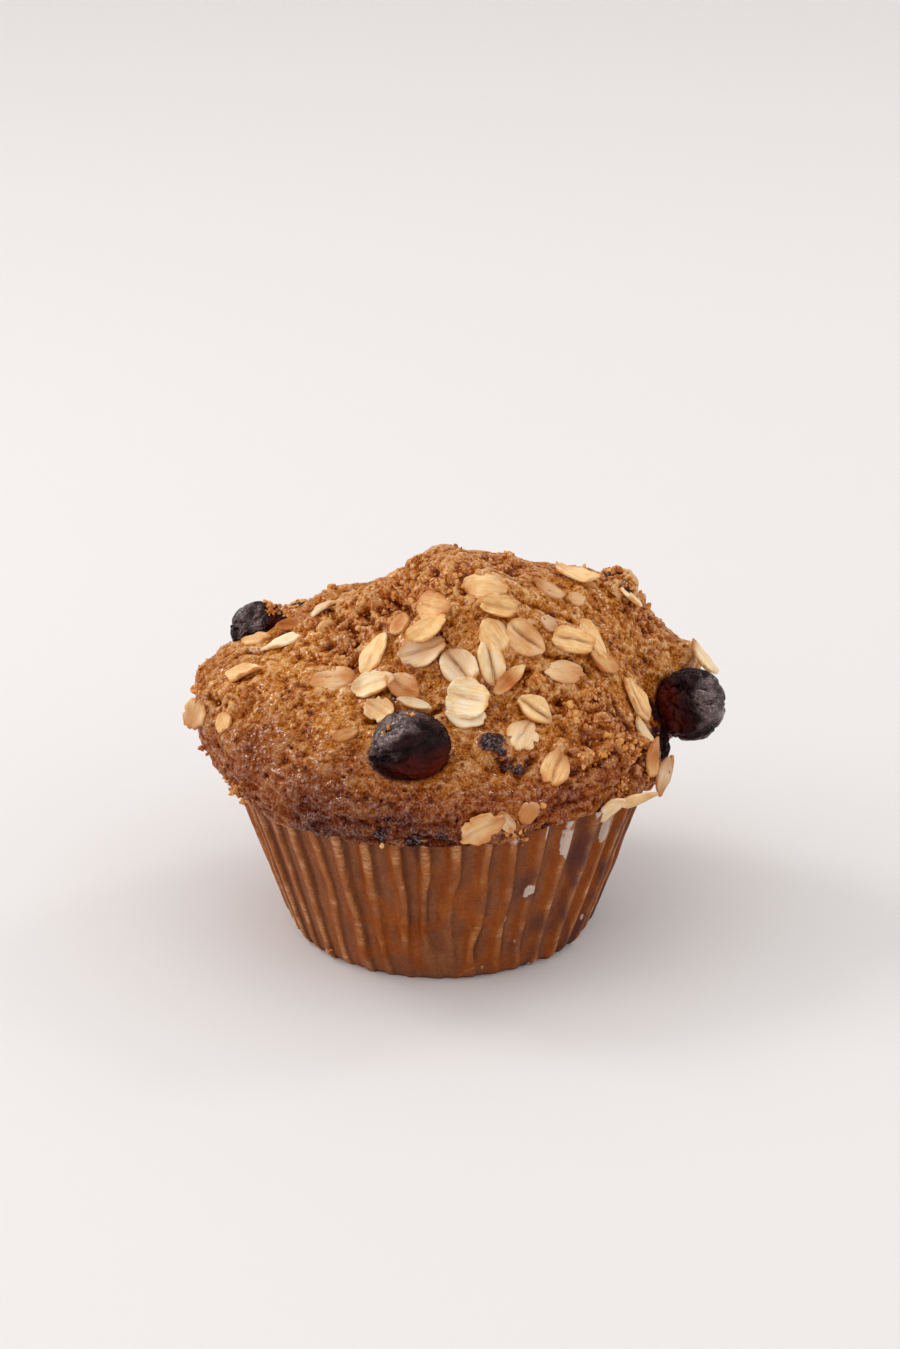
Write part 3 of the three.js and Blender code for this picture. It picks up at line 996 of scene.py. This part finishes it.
# The oat flakes that lie on the crust: column and row of the middle in the photograph, length and width in
# millimetres, the turn of the long side in the picture in degrees, from the right towards the top, and how
# soaked, creased and ragged the flake is.
FLAKES = [
    (484, 586, 8.4, 5.4, -4, 0.1, 0.0, 0.5),
    (497, 607, 7.4, 4.2, -14, 0.1, 0.5, 0.6),
    (575, 577, 8.4, 5.8, -20, 0.1, 0.1, 0.8),
    (548, 589, 6.5, 4.5, -25, 1.0, 0.3, 0.3),
    (432, 607, 7.6, 5.8, -12, 0.6, 0.5, 0.3),
    (400, 625, 4.6, 3.8, 60, 0.3, 0.1, 0.6),
    (424, 651, 9.0, 5.6, 20, 0.35, 0.6, 0.5),
    (430, 630, 8.4, 4.0, 32, 0.0, 0.2, 0.6),
    (375, 654, 8.6, 4.6, 62, 0.0, 0.3, 0.1),
    (332, 677, 8.6, 5.6, 4, 0.5, 0.2, 0.2),
    (245, 675, 6.8, 4.6, 14, 0.1, 0.1, 0.4),
    (256, 640, 7.0, 4.0, 4, 0.1, 0.1, 0.3),
    (281, 644, 7.6, 3.8, 20, 0.0, 0.1, 0.3),
    (326, 608, 6.4, 3.4, 30, 0.1, 0.0, 0.4),
    (403, 687, 7.8, 4.8, -35, 0.9, 0.7, 0.2),
    (374, 686, 8.0, 5.2, 18, 0.1, 0.3, 0.5),
    (379, 712, 6.6, 4.8, -35, 0.3, 0.4, 1.0),
    (415, 705, 6.6, 2.0, -14, 0.1, 0.0, 0.2),
    (460, 667, 7.6, 6.2, -50, 0.2, 1.0, 0.4),
    (494, 635, 7.0, 5.8, -60, 0.0, 0.2, 0.3),
    (491, 663, 8.8, 4.9, -78, 0.0, 1.0, 0.1),
    (525, 638, 8.2, 5.8, -42, 0.2, 0.9, 0.3),
    (549, 624, 4.0, 2.8, -45, 0.75, 0.0, 0.7),
    (594, 642, 9.8, 4.6, -52, 0.0, 0.2, 1.0),
    (570, 642, 9.0, 5.0, -14, 0.0, 0.8, 0.3),
    (564, 672, 7.8, 4.4, -8, 0.4, 0.2, 1.0),
    (601, 664, 6.5, 3.6, -35, 0.9, 0.2, 0.2),
    (508, 682, 7.8, 3.0, 42, 0.5, 0.1, 0.3),
    (465, 715, 7.6, 5.6, -16, 0.1, 0.1, 0.5),
    (467, 700, 8.0, 7.2, -10, 0.0, 0.4, 0.5),
    (534, 710, 7.6, 4.2, -36, 0.1, 1.0, 0.3),
    (523, 735, 7.2, 6.0, 55, 0.4, 0.5, 1.0),
    (555, 769, 7.4, 5.2, 68, 0.3, 0.8, 0.5),
    (634, 700, 8.8, 4.8, -62, 0.3, 0.9, 0.3),
    (481, 828, 8.6, 5.6, 28, 0.7, 0.3, 1.0),
    (506, 822, 4.6, 2.6, -50, 1.0, 0.2, 0.5),
    (529, 813, 4.4, 4.0, 10, 1.0, 0.0, 0.8),
    (641, 730, 6.4, 2.8, -60, 0.3, 0.1, 0.4),
    (224, 723, 4.0, 3.6, 70, 0.2, 0.1, 0.4),
    (345, 735, 5.0, 2.8, 20, 1.0, 0.1, 0.4),
    (575, 600, 4.6, 3.0, 10, 0.9, 0.1, 0.6),
]
# Flakes that stand off the crust: column, row, length, width, turn, the way the flat side faces, and again
# how soaked, creased and ragged.
STANDING_FLAKES = [
    (194, 714, 6.0, 4.4, 75, (-0.35, -0.9, 0.25), 0.5, 0.0, 1.0),
    (703, 657, 7.6, 4.4, -55, (0.72, -0.25, 0.6), 0.2, 0.1, 0.4),
    (663, 776, 7.4, 3.4, 80, (0.55, -0.8, 0.1), 0.9, 0.2, 0.4),
    (670, 766, 4.2, 2.4, 78, (0.9, -0.35, 0.1), 0.7, 0.1, 0.4),
    (653, 757, 7.4, 3.4, 84, (0.75, -0.6, 0.2), 0.65, 0.1, 0.7),
    (611, 808, 8.8, 3.4, 43, (0.15, -0.75, -0.6), 0.3, 0.1, 0.4),
    (636, 800, 7.6, 4.0, 17, (0.3, -0.7, -0.6), 0.45, 0.1, 0.4),
    (632, 597, 5.6, 4.0, -42, (0.6, 0.1, 0.75), 0.0, 0.0, 0.4),
    (288, 625, 4.4, 2.2, 4, (0.0, -0.7, 0.7), 0.8, 0.1, 0.3),
]
OAT_THICKNESS = 0.55
# The flakes on the far side: how far apart they lie at least, how far from a berry, and how far behind what
# the camera sees, in millimetres. They lie on the crust from BACK_START to BACK_END in y and above BACK_LOW.
BACK_SPACING, BERRY_CLEARANCE, OUT_OF_SIGHT = 7, 3, 10
BACK_START, BACK_END, BACK_LOW = 14, 35, 38


def flake_mesh(length, width, seed, curl, creased, ragged):
    """One flake, lying flat with its long side along X: points, faces, a place on it from -1 to 1, the
    groove and the share of the way out to the edge."""
    rings, columns = 9, 52
    turns = np.linspace(0, 2 * math.pi, columns, endpoint=False)
    reach = np.sin(np.linspace(0, 1, rings + 1)[1:] * math.pi / 2)
    ring_reach, ring_turn = np.meshgrid(reach, turns, indexing="ij")
    along = np.concatenate([[0], (ring_reach * np.cos(ring_turn)).ravel()])
    across = np.concatenate([[0], (ring_reach * np.sin(ring_turn)).ravel()])
    share = np.concatenate([[0], ring_reach.ravel()])
    turn = np.concatenate([[0], ring_turn.ravel()])
    outline = np.stack([np.cos(turn), np.sin(turn), np.full(share.shape, seed * 3.7)], 1)
    waver = 0.11 * smooth_noise(outline, 0.6, seed)
    notches = 0.3 * ragged * np.minimum(smooth_noise(outline, 0.22, seed + 1), 0.1) * (0.35 + 0.65 * along**2)
    splits = -0.24 * ragged * ramp(smooth_noise(outline, 0.34, seed + 3), 0.45, 0.8)
    cut = 1 + share**3 * (waver + notches + splits)
    pointed = 1 - 0.2 * np.abs(along) ** 3
    x = along * cut * length / 2
    y = across * cut * pointed * width / 2
    flat = np.stack([x, y, np.full(len(x), seed * 5.1)], axis=1)
    drawn = flat * [0.3, 1.5, 1]
    ripple = 0.2 * layered_noise(drawn, 1.0, seed + 2) + 0.35 * smooth_noise(flat, 2.6, seed + 4)
    middle = y + 0.25 * smooth_noise(flat * [1, 0, 1], 2.2, seed + 6)
    groove = bell(middle, 0.34) * (1 - along**4)
    bend = curl[0] * (y / 2.5) ** 2 + curl[1] * (x / 4) ** 2 + curl[2] * x * y / 10
    body = 0.5 * OAT_THICKNESS * np.sqrt(np.clip(1 - share**14, 0, 1))
    swell = 0.5 * creased * (np.abs(middle) / width) ** 0.6
    lip = 0.16 * ramp(share, 0.6, 0.9) * (1 + smooth_noise(outline, 0.5, seed + 8))
    top = bend + body + ripple + swell + lip - 0.36 * creased * groove
    bottom = bend - body + 0.7 * ripple
    count = len(x)
    points = np.concatenate([np.stack([x, y, top], 1), np.stack([x, y, bottom], 1)])
    edge = 1 + (rings - 1) * columns
    faces = fan(0, 1, columns) + turned_over(fan(count, count + 1, columns))
    for inner in range(1, edge, columns):
        outer = inner + columns
        faces += turned_over(ring_quads(inner, outer, columns))
        faces += ring_quads(count + inner, count + outer, columns)
    faces += ring_quads(count + edge, edge, columns)
    return points, faces, np.tile(along, 2), np.tile(across, 2), np.tile(groove, 2), np.tile(share, 2)


class FlakePile:
    """Collects flakes into one mesh."""

    def __init__(self):
        self.points, self.faces, self.count = [], [], 0
        self.measures = {key: [] for key in ("along", "across", "tint", "crease", "rim", "soaked")}
        self.chance = np.random.default_rng(5)
        self.placed = []

    def lift(self, place, length):
        """How far a flake here is raised to lie on the flakes below it. It counts as placed from then on."""
        below = sum(np.linalg.norm(place - other) < 0.3 * (length + size) for other, size in self.placed)
        self.placed.append((place, length))
        return (OAT_THICKNESS + 0.1) * below

    def add(self, place, normal, long_side, length, width, soaked, creased, ragged, curled=1.0):
        seed = len(self.points)
        curl = curled * self.chance.normal(0, (0.55, 0.55, 0.9))
        points, faces, along, across, groove, share = flake_mesh(length, width, seed, curl, creased, ragged)
        normal = unit(normal)
        long_side = unit(long_side - normal * (long_side @ normal))
        turned = np.stack([long_side, np.cross(normal, long_side), normal])
        self.points.append(points @ turned + place)
        self.faces += [tuple(self.count + corner for corner in face) for face in faces]
        self.count += len(points)
        number = len(points)
        self.measures["along"].append(along)
        self.measures["across"].append(across)
        self.measures["tint"].append(np.full(number, self.chance.uniform()))
        self.measures["crease"].append(groove * creased)
        self.measures["rim"].append(ramp(share, 0.72, 1.0))
        uneven = smooth_noise(points, 3.5, seed + 9) if soaked > 0.05 else 0
        self.measures["soaked"].append(np.clip(soaked + 0.6 * uneven + np.zeros(number), 0, 1))


def picture_side(normal, column, row, turn):
    """The direction in the plane with this normal that shows at an angle in the picture."""
    sight = sight_line(column, row)
    shown = math.cos(math.radians(turn)) * VIEW_RIGHT + math.sin(math.radians(turn)) * VIEW_UP
    facing = normal @ sight
    if abs(facing) < 0.15:
        facing = math.copysign(0.15, facing)
    return shown - sight * (normal @ shown) / facing


def settled(surface, place, normal, size):
    """The broader lie of the crust under a flake: its normal, and the place moved up onto it."""
    side = unit(np.cross(normal, [0.3, 0.5, 0.8]))
    other = np.cross(normal, side)
    hits = [place]
    for step in range(12):
        turn = 2 * math.pi * step / 12
        away = size * (0.5 + 0.5 * (step % 2))
        start = place + away * (math.cos(turn) * side + math.sin(turn) * other) + 4 * normal
        found = surface.hit(start, -normal)
        if found is not None and np.linalg.norm(found[0] - place) < 2.2 * size:
            hits.append(found[0])
    if len(hits) < 6:
        return normal, place
    centre = np.mean(hits, axis=0)
    _, _, axes = np.linalg.svd(np.array(hits) - centre)
    broad = axes[2] if axes[2] @ normal > 0 else -axes[2]
    heights = (np.array(hits) - place) @ broad
    return broad, place + broad * (0.5 * heights.max() + 0.5 * heights.mean())


def make_flakes(surface, points, normals, berries):
    """The oat flakes: those that the photograph shows, and some on the far side."""
    pile = FlakePile()
    for column, row, length, width, turn, soaked, creased, ragged in FLAKES:
        found = surface.seen_at(column, row)
        if found is None:
            continue
        normal, place = settled(surface, *found, 0.36 * length)
        # The middle stays on the sight line through its pixel.
        sight = sight_line(column, row)
        place = found[0] + sight * ((place - found[0]) @ normal) / min(sight @ normal, -0.15)
        place = place + normal * (0.4 - 0.5 * soaked + pile.lift(place, length))
        long_side = picture_side(normal, column, row, turn)
        pile.add(place, normal, long_side, length, width, soaked, creased, ragged)
    for column, row, length, width, turn, facing, soaked, creased, ragged in STANDING_FLAKES:
        # It stands where the crust comes nearest to the sight line through its pixel.
        reach, away = off_sight_line(points, column, row)
        place = CAMERA_MM + sight_line(column, row) * (reach[away < away.min() + 0.8].min() - 0.6)
        normal = unit(facing)
        long_side = picture_side(normal, column, row, turn)
        pile.add(place, normal, long_side, length, width, soaked, creased, ragged, curled=0.3)
    chance = np.random.default_rng(6)
    turned_away = np.sum(normals * (points - CAMERA_MM), axis=1) > 60
    clear = berry_distance(points, berries) > BERRY_CLEARANCE
    high = (points[:, 1] > BACK_START) & (points[:, 1] < BACK_END) & (points[:, 2] > BACK_LOW)
    candidates = np.flatnonzero(turned_away & clear & high & (normals[:, 2] > 0.3))
    taken = []
    for index in chance.permutation(candidates):
        if any(np.linalg.norm(points[index] - other) < BACK_SPACING for other in taken):
            continue
        sight = points[index] + 2.5 * normals[index] + 3.5 * VIEW_UP - CAMERA_MM
        in_front = surface.hit(CAMERA_MM, unit(sight))
        if in_front is None or np.linalg.norm(sight) - np.linalg.norm(in_front[0] - CAMERA_MM) < OUT_OF_SIGHT:
            continue
        taken.append(points[index])
        normal, place = settled(surface, points[index], normals[index], 3)
        length = chance.uniform(6.8, 9.0)
        width = length * chance.uniform(0.55, 0.75)
        soaked = chance.uniform(0, 0.7)
        place = place + normal * (0.6 - 0.45 * soaked)
        creased, ragged = chance.uniform(0, 1, 2)
        pile.add(place, normal, chance.normal(0, 1, 3), length, width, soaked, creased, ragged)
    measures = {key: np.concatenate(values) for key, values in pile.measures.items()}
    make_piece("oat_flakes", np.concatenate(pile.points), pile.faces, oat_material(), measures)


# ---------------------------------------------------------------- loose crumbs


CRUMB_COUNT = 2100
CRUMB_SIZE, LARGEST_CRUMB = 0.17, 0.6
# Heaps of crumbs: column and row of the middle, radius of the heap in millimetres and number of crumbs.
CRUMB_HEAPS = [
    (277, 603, 2.2, 80),
    (268, 599, 1.0, 26),
    (289, 612, 1.4, 30),
    (617, 572, 1.6, 18),
    (630, 584, 1.0, 10),
    (412, 556, 1.2, 14),
    (456, 549, 1.6, 14),
    (505, 558, 1.2, 12),
    (580, 566, 1.2, 10),
    (204, 652, 1.1, 10),
    (199, 672, 1.2, 16),
    (196, 692, 1.2, 18),
    (203, 757, 1.4, 18),
    (235, 791, 1.6, 22),
    (246, 801, 1.0, 10),
    (218, 776, 1.8, 26),
    (228, 782, 1.2, 14),
    (200, 745, 1.6, 16),
    (213, 690, 1.4, 14),
    (591, 697, 1.8, 24),
    (574, 720, 1.4, 16),
    (536, 681, 1.3, 16),
    (612, 738, 2.0, 26),
    (640, 742, 2.2, 30),
    (600, 755, 1.6, 18),
    (583, 757, 1.2, 12),
    (650, 780, 2.0, 24),
    (622, 787, 1.4, 14),
    (513, 832, 1.6, 14),
    (522, 838, 1.0, 8),
    (407, 715, 0.8, 3),
    (385, 728, 0.8, 2),
    (286, 914, 0.5, 3),
    (297, 926, 0.5, 3),
    (327, 951, 0.8, 4),
    (589, 934, 0.6, 3),
    (480, 968, 0.6, 2),
]


def crumb_shapes(count, seed):
    """Some angular crumbs of unit size, all with the same faces."""
    bpy.ops.mesh.primitive_ico_sphere_add(subdivisions=2, radius=1)
    source = bpy.context.object
    ball = vertices_of(source.data)
    faces = np.array([tuple(polygon.vertices) for polygon in source.data.polygons])
    bpy.data.objects.remove(source)
    shapes = []
    for number in range(count):
        bumps = 0.5 * smooth_noise(ball, 0.9, seed + number)
        fine = 0.3 * smooth_noise(ball, 0.45, seed + 50 + number)
        shapes.append(ball * (1 + bumps + fine)[:, None])
    return shapes, faces


def make_crumbs(surface, points, normals, measures):
    """Loose crumbs, most of them where the crust is torn open, and the heaps that the photograph shows."""
    chance = np.random.default_rng(11)
    crumbly = measures["crumbly"][: len(points)]
    weight = np.clip(crumbly - 0.3, 0, 1) ** 1.5 + 0.0015
    weight = weight * (points[:, 2] > CASE_HEIGHT - 1) * (measures["browned"][: len(points)] < 0.5)
    heaped = sum(heap[3] for heap in CRUMB_HEAPS)
    chosen = chance.choice(len(points), CRUMB_COUNT - heaped, replace=False, p=weight / weight.sum())
    spots = [(points[index], normals[index]) for index in chosen]
    for column, row, radius, count in CRUMB_HEAPS:
        spread = radius * FOCAL_PX / -CAMERA_MM[1]
        for _ in range(count):
            across, down = chance.normal(0, 0.5 * spread, 2)
            found = surface.seen_at(column + across, row + down)
            if found is not None:
                spots.append(found)
    shapes, faces = crumb_shapes(8, 300)
    all_points, all_faces, tints = [], [], []
    for number, (spot, normal) in enumerate(spots):
        shape = shapes[number % len(shapes)]
        size = min(LARGEST_CRUMB, CRUMB_SIZE * math.exp(abs(chance.normal(0, 0.55))))
        turned, _ = np.linalg.qr(chance.normal(0, 1, (3, 3)))
        stretch = chance.uniform(0.7, 1.35, 3)
        all_points.append((shape * stretch * size) @ turned + spot + normal * size * 0.55)
        all_faces.append(faces + number * len(shape))
        tints.append(np.full(len(shape), chance.uniform()))
    make_piece(
        "crumbs",
        np.concatenate(all_points),
        np.concatenate(all_faces).tolist(),
        crumb_material(),
        {"tint": np.concatenate(tints)},
        smooth=False,
    )


# ---------------------------------------------------------------- the paper case


PLEATS = 44
COLUMNS_PER_PLEAT = 24
WALL_ROWS = 44
PAPER_THICKNESS = 0.3
PLEAT_REACH_FOOT, PLEAT_REACH_RIM = 0.4, 0.8
INNER_ROWS = 12
RIM_OVER_CAD = 0.5  # the rim goes up into the crust, so that no gap shows below it
# The crumpled front: its middle and half width in degrees.
CRUMPLED_AZIMUTH, CRUMPLED_HALF_WIDTH = -88, 34
# The small stain on the front: its middle and half width in degrees.
STAIN_AZIMUTH, STAIN_HALF_WIDTH = -96, 1.6


def pleat_place(azimuth, up):
    """Where points of the wall lie on their pleats: the pleat's number with the share of the way across it,
    their place on the even wall, and how much they belong to the crumpled front."""
    around = np.stack([np.cos(azimuth) * 30, np.sin(azimuth) * 30, up * CASE_HEIGHT], axis=1)
    front = bell(np.degrees(azimuth) - CRUMPLED_AZIMUTH, CRUMPLED_HALF_WIDTH) * (1 - up) ** 0.85
    sway = 0.14 * smooth_noise(around * [1, 1, 0.35], 6, 61) + 0.6 * front * smooth_noise(around, 6.5, 62)
    return azimuth / (2 * math.pi) * PLEATS + sway, around, front


def case_wall(azimuth, up, inset):
    """The wall's radius and the shares of crest, orange, shade and folded that its material reads. Each pleat
    rises slowly from one side and drops back sharply on the other."""
    pleat, around, front = pleat_place(azimuth, up)
    across = 2 * (pleat - np.floor(pleat)) - 1
    number = np.stack([np.floor(pleat) % PLEATS, pleat * 0, pleat * 0], 1)
    each = 0.45 + 1.0 * hashed(number, 63)
    shape = 2 * ramp(across, -0.8, -0.1) * (1 - ramp(across, 0.22, 0.44)) - 1
    faded = front * ramp(smooth_noise(around, 6, 65), -0.7, 0.15)
    reach = (PLEAT_REACH_FOOT + (PLEAT_REACH_RIM - PLEAT_REACH_FOOT) * up) * (1 - 0.7 * faded)
    crumple = 0.25 * layered_noise(around, 7, 64) + 0.6 * front * layered_noise(around, 4.5, 66, 2)
    crease = np.abs(layered_noise(around * [1, 1, 0.8], 6.5, 67, 2))
    slope = (CASE_RADIUS - PLEAT_REACH_RIM - FOOT_RADIUS) * up
    bulge = (crumple + 2.2 * front * (0.22 - crease)) * np.sin(math.pi * np.clip(up, 0, 1)) ** 0.5
    radius = FOOT_RADIUS + slope + reach * (shape * each - (1 - each)) + bulge - inset
    clear = 1 - faded
    bands = {
        "crest": clear * ramp(across, -0.5, 0.0) * (1 - ramp(across, 0.26, 0.4)),
        "orange": clear * ramp(across, -0.95, -0.6) * (1 - ramp(across, -0.35, 0.0)),
        "shade": clear * ramp(across, 0.3, 0.42) * (1 - ramp(across, 0.44, 0.8)),
        "folded": np.clip(1.4 * front, 0, 1) * (1 - ramp(crease, 0.01, 0.3)),
    }
    return radius, across, bands


def case_rings(columns):
    """The points of the case, from the middle of its foot outside, up the wall and down again to the middle
    of its foot inside, and what its material reads there."""
    turns = np.linspace(-math.pi, math.pi, columns, endpoint=False)
    circle = np.stack([np.cos(turns), np.sin(turns), turns * 0], 1)
    outer_up = np.linspace(0, 1, WALL_ROWS + 1)
    inner_up = np.linspace(1, 0.02, INNER_ROWS)
    plain = {"crest": 0, "orange": 0, "shade": 0, "folded": 0, "across": 1, "up": 0}
    points, measures = [], {key: [] for key in plain}

    def add(ring, values):
        points.append(ring)
        for key in plain:
            measures[key].append(np.full(len(ring), values[key]))

    add(np.zeros((1, 3)), plain)
    for reach in (0.5, 0.93):
        add(circle * FOOT_RADIUS * reach, plain)
    for up, inset in [(up, 0.0) for up in outer_up] + [(up, PAPER_THICKNESS) for up in inner_up]:
        radius, across, bands = case_wall(turns, np.full(columns, up), inset)
        uneven = up**8 * (0.3 * smooth_noise(circle * 30, 6, 68) + RIM_OVER_CAD)
        height = up * CASE_HEIGHT + uneven if up > 0.05 or not inset else PAPER_THICKNESS
        # The wall is rounded into the foot.
        rounding = 0.9 * (1 - min(up / 0.06, 1)) ** 2
        raised = np.outer(height + turns * 0, [0, 0, 1])
        add(circle * (radius - rounding)[:, None] + raised, {**bands, "across": across, "up": up})
    add(np.array([[0, 0, PAPER_THICKNESS]]), plain)
    return np.concatenate(points), {key: np.concatenate(values) for key, values in measures.items()}


def paper_marks(points, across, up):
    """Where the paper took up no fat and where juice stains it, both mostly on the right."""
    azimuth = np.degrees(np.arctan2(points[:, 1], points[:, 0]))
    right_side = ramp(azimuth, -85, -62) * (1 - ramp(azimuth, 20, 60))
    left_side = ramp(np.abs(azimuth), 140, 160)
    patch = layered_noise(points * [1, 1, 0.6], 3.2, 81)
    on_crest = 1 - ramp(np.abs(across), 0.4, 0.7)
    rim_dry = (right_side + 0.5 * left_side) * ramp(up, 0.84, 0.97) * ramp(patch, -0.25, 0.35) * on_crest
    spots = ramp(patch, 0.36, 0.54) * (0.2 + 0.8 * right_side) * on_crest
    dry = np.clip(np.maximum(0.85 * rim_dry, 0.8 * spots), 0, 1)
    stain_noise = layered_noise(points * [1, 1, 0.5], 5, 85)
    stain = right_side * ramp(azimuth, -75, -62) * ramp(stain_noise, -0.25, 0.4) * 0.9
    small_stain = bell(azimuth - STAIN_AZIMUTH, STAIN_HALF_WIDTH) * ramp(up, 0.75, 0.9) * 0.7
    return {"dry": dry, "stain": np.clip(np.maximum(stain, small_stain), 0, 1) * (1 - dry)}


def make_case():
    """The paper case: its points and faces."""
    columns = PLEATS * COLUMNS_PER_PLEAT
    points, measures = case_rings(columns)
    faces = pole_to_pole(len(points), columns)
    measures.update(paper_marks(points, measures.pop("across"), measures.pop("up")))
    piece = make_piece("case", points, faces, paper_material(), measures)
    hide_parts("paper_case")
    return points, faces


# ---------------------------------------------------------------- floor, light and camera


# The floor in metres: half its width, how far it reaches to the front and, before it curves up, to the back,
# the radius of the curve and the height of the backdrop.
FLOOR_SIDE, FLOOR_FRONT, FLOOR_BACK, FLOOR_CURVE, BACKDROP_HEIGHT = 2.2, 1.2, 0.9, 0.6, 2.4
CURVE_STEPS = 12
# Each lamp's place in metres, its width in metres and its power in watts.
LAMPS = {
    "key": ((-0.7, 0.25, 0.8), 0.34, 2.05),
    "left": ((-0.9, -0.1, 0.4), 0.6, 1.5),
    "top": ((-0.1, 0.0, 1.2), 0.5, 0.3),
    "right": ((0.6, 0.4, 0.75), 0.24, 0.8),
}
LAMP_TARGET = (0, 0, 0.04)


def make_floor():
    """A floor that curves up into a backdrop behind the muffin."""
    profile = [(-FLOOR_FRONT, 0.0), (FLOOR_BACK, 0.0)]
    for step in range(1, CURVE_STEPS + 1):
        turn = math.pi / 2 * step / CURVE_STEPS
        profile.append((FLOOR_BACK + FLOOR_CURVE * math.sin(turn), FLOOR_CURVE * (1 - math.cos(turn))))
    profile.append((FLOOR_BACK + FLOOR_CURVE, BACKDROP_HEIGHT))
    points = [(side, depth, height) for depth, height in profile for side in (-FLOOR_SIDE, FLOOR_SIDE)]
    faces = [(2 * k, 2 * k + 1, 2 * k + 3, 2 * k + 2) for k in range(len(profile) - 1)]
    mesh = bpy.data.meshes.new("floor")
    mesh.from_pydata(points, [], faces)
    mesh.polygons.foreach_set("use_smooth", np.full(len(mesh.polygons), True))
    material = bpy.data.materials.new("pale_floor")
    material.use_nodes = True
    shader = material.node_tree.nodes["Principled BSDF"]
    shader.inputs["Base Color"].default_value = linear(230, 227, 226)
    shader.inputs["Roughness"].default_value = 0.7
    shader.inputs["Specular IOR Level"].default_value = 0.2
    mesh.materials.append(material)
    floor = bpy.data.objects.new("floor", mesh)
    bpy.context.scene.collection.objects.link(floor)


def add_light(name, place, size, power):
    """A round lamp that faces the muffin."""
    light = bpy.data.lights.new(name, "AREA")
    light.shape = "DISK"
    light.size = size
    light.energy = power
    lamp = bpy.data.objects.new(name, light)
    lamp.location = place
    lamp.rotation_euler = (Vector(LAMP_TARGET) - Vector(place)).to_track_quat("-Z", "Y").to_euler()
    bpy.context.scene.collection.objects.link(lamp)


def make_light():
    """Soft light from above, most of it from the left and from behind, in a room that is darker on the
    camera's side."""
    world = bpy.data.worlds.new("studio")
    world.use_nodes = True
    nodes, links = world.node_tree.nodes, world.node_tree.links
    background = nodes["Background"]
    background.inputs["Color"].default_value = (1.0, 0.988, 0.98, 1)
    direction = nodes.new("ShaderNodeSeparateXYZ")
    links.new(nodes.new("ShaderNodeTexCoord").outputs["Generated"], direction.inputs[0])
    brightness = nodes.new("ShaderNodeMapRange")
    brightness.interpolation_type = "SMOOTHSTEP"
    links.new(direction.outputs["Y"], brightness.inputs["Value"])
    for key, value in (("From Min", -1.0), ("From Max", -0.6), ("To Min", 0.71), ("To Max", 0.96)):
        brightness.inputs[key].default_value = value
    links.new(brightness.outputs["Result"], background.inputs["Strength"])
    bpy.context.scene.world = world
    for name, (place, size, power) in LAMPS.items():
        add_light(name, place, size, power)
    bpy.context.scene.view_settings.view_transform = "Standard"


def make_camera():
    """The photograph's camera."""
    data = bpy.data.cameras.new("camera")
    data.sensor_width = SENSOR_MM
    data.lens = FOCAL_PX * SENSOR_MM / PHOTO_HEIGHT
    data.clip_start = 0.01
    camera = bpy.data.objects.new("camera", data)
    camera.location = (CAMERA_MM * MM).tolist()
    camera.rotation_euler = (math.pi / 2 - LOOK_DOWN, 0, 0)
    bpy.context.scene.collection.objects.link(camera)
    bpy.context.scene.camera = camera


def joined(meshes):
    """The vertices and triangles of several meshes as one."""
    vertices, triangles, count = [], [], 0
    for places, faces in meshes:
        vertices.append(places)
        for face in faces:
            corners = [corner + count for corner in face]
            triangles += [(corners[0], *pair) for pair in zip(corners[1:], corners[2:])]
        count += len(places)
    return np.concatenate(vertices), np.array(triangles)


def main():
    make_camera()
    make_floor()
    make_light()
    berries = [Berry(name) for name in BERRIES]
    surface, points, triangles, measures = make_crust(berries)
    normals = normals_of(points, triangles)
    skin = berry_material()
    shown = [(points, triangles.tolist())]
    for number, berry in enumerate(berries):
        shown.append(make_berry(berry, 500 + 20 * number, skin))
    shown.append(make_case())
    make_flakes(surface, points, normals, berries)
    make_crumbs(Surface(*joined(shown)), points, normals, measures)


main()
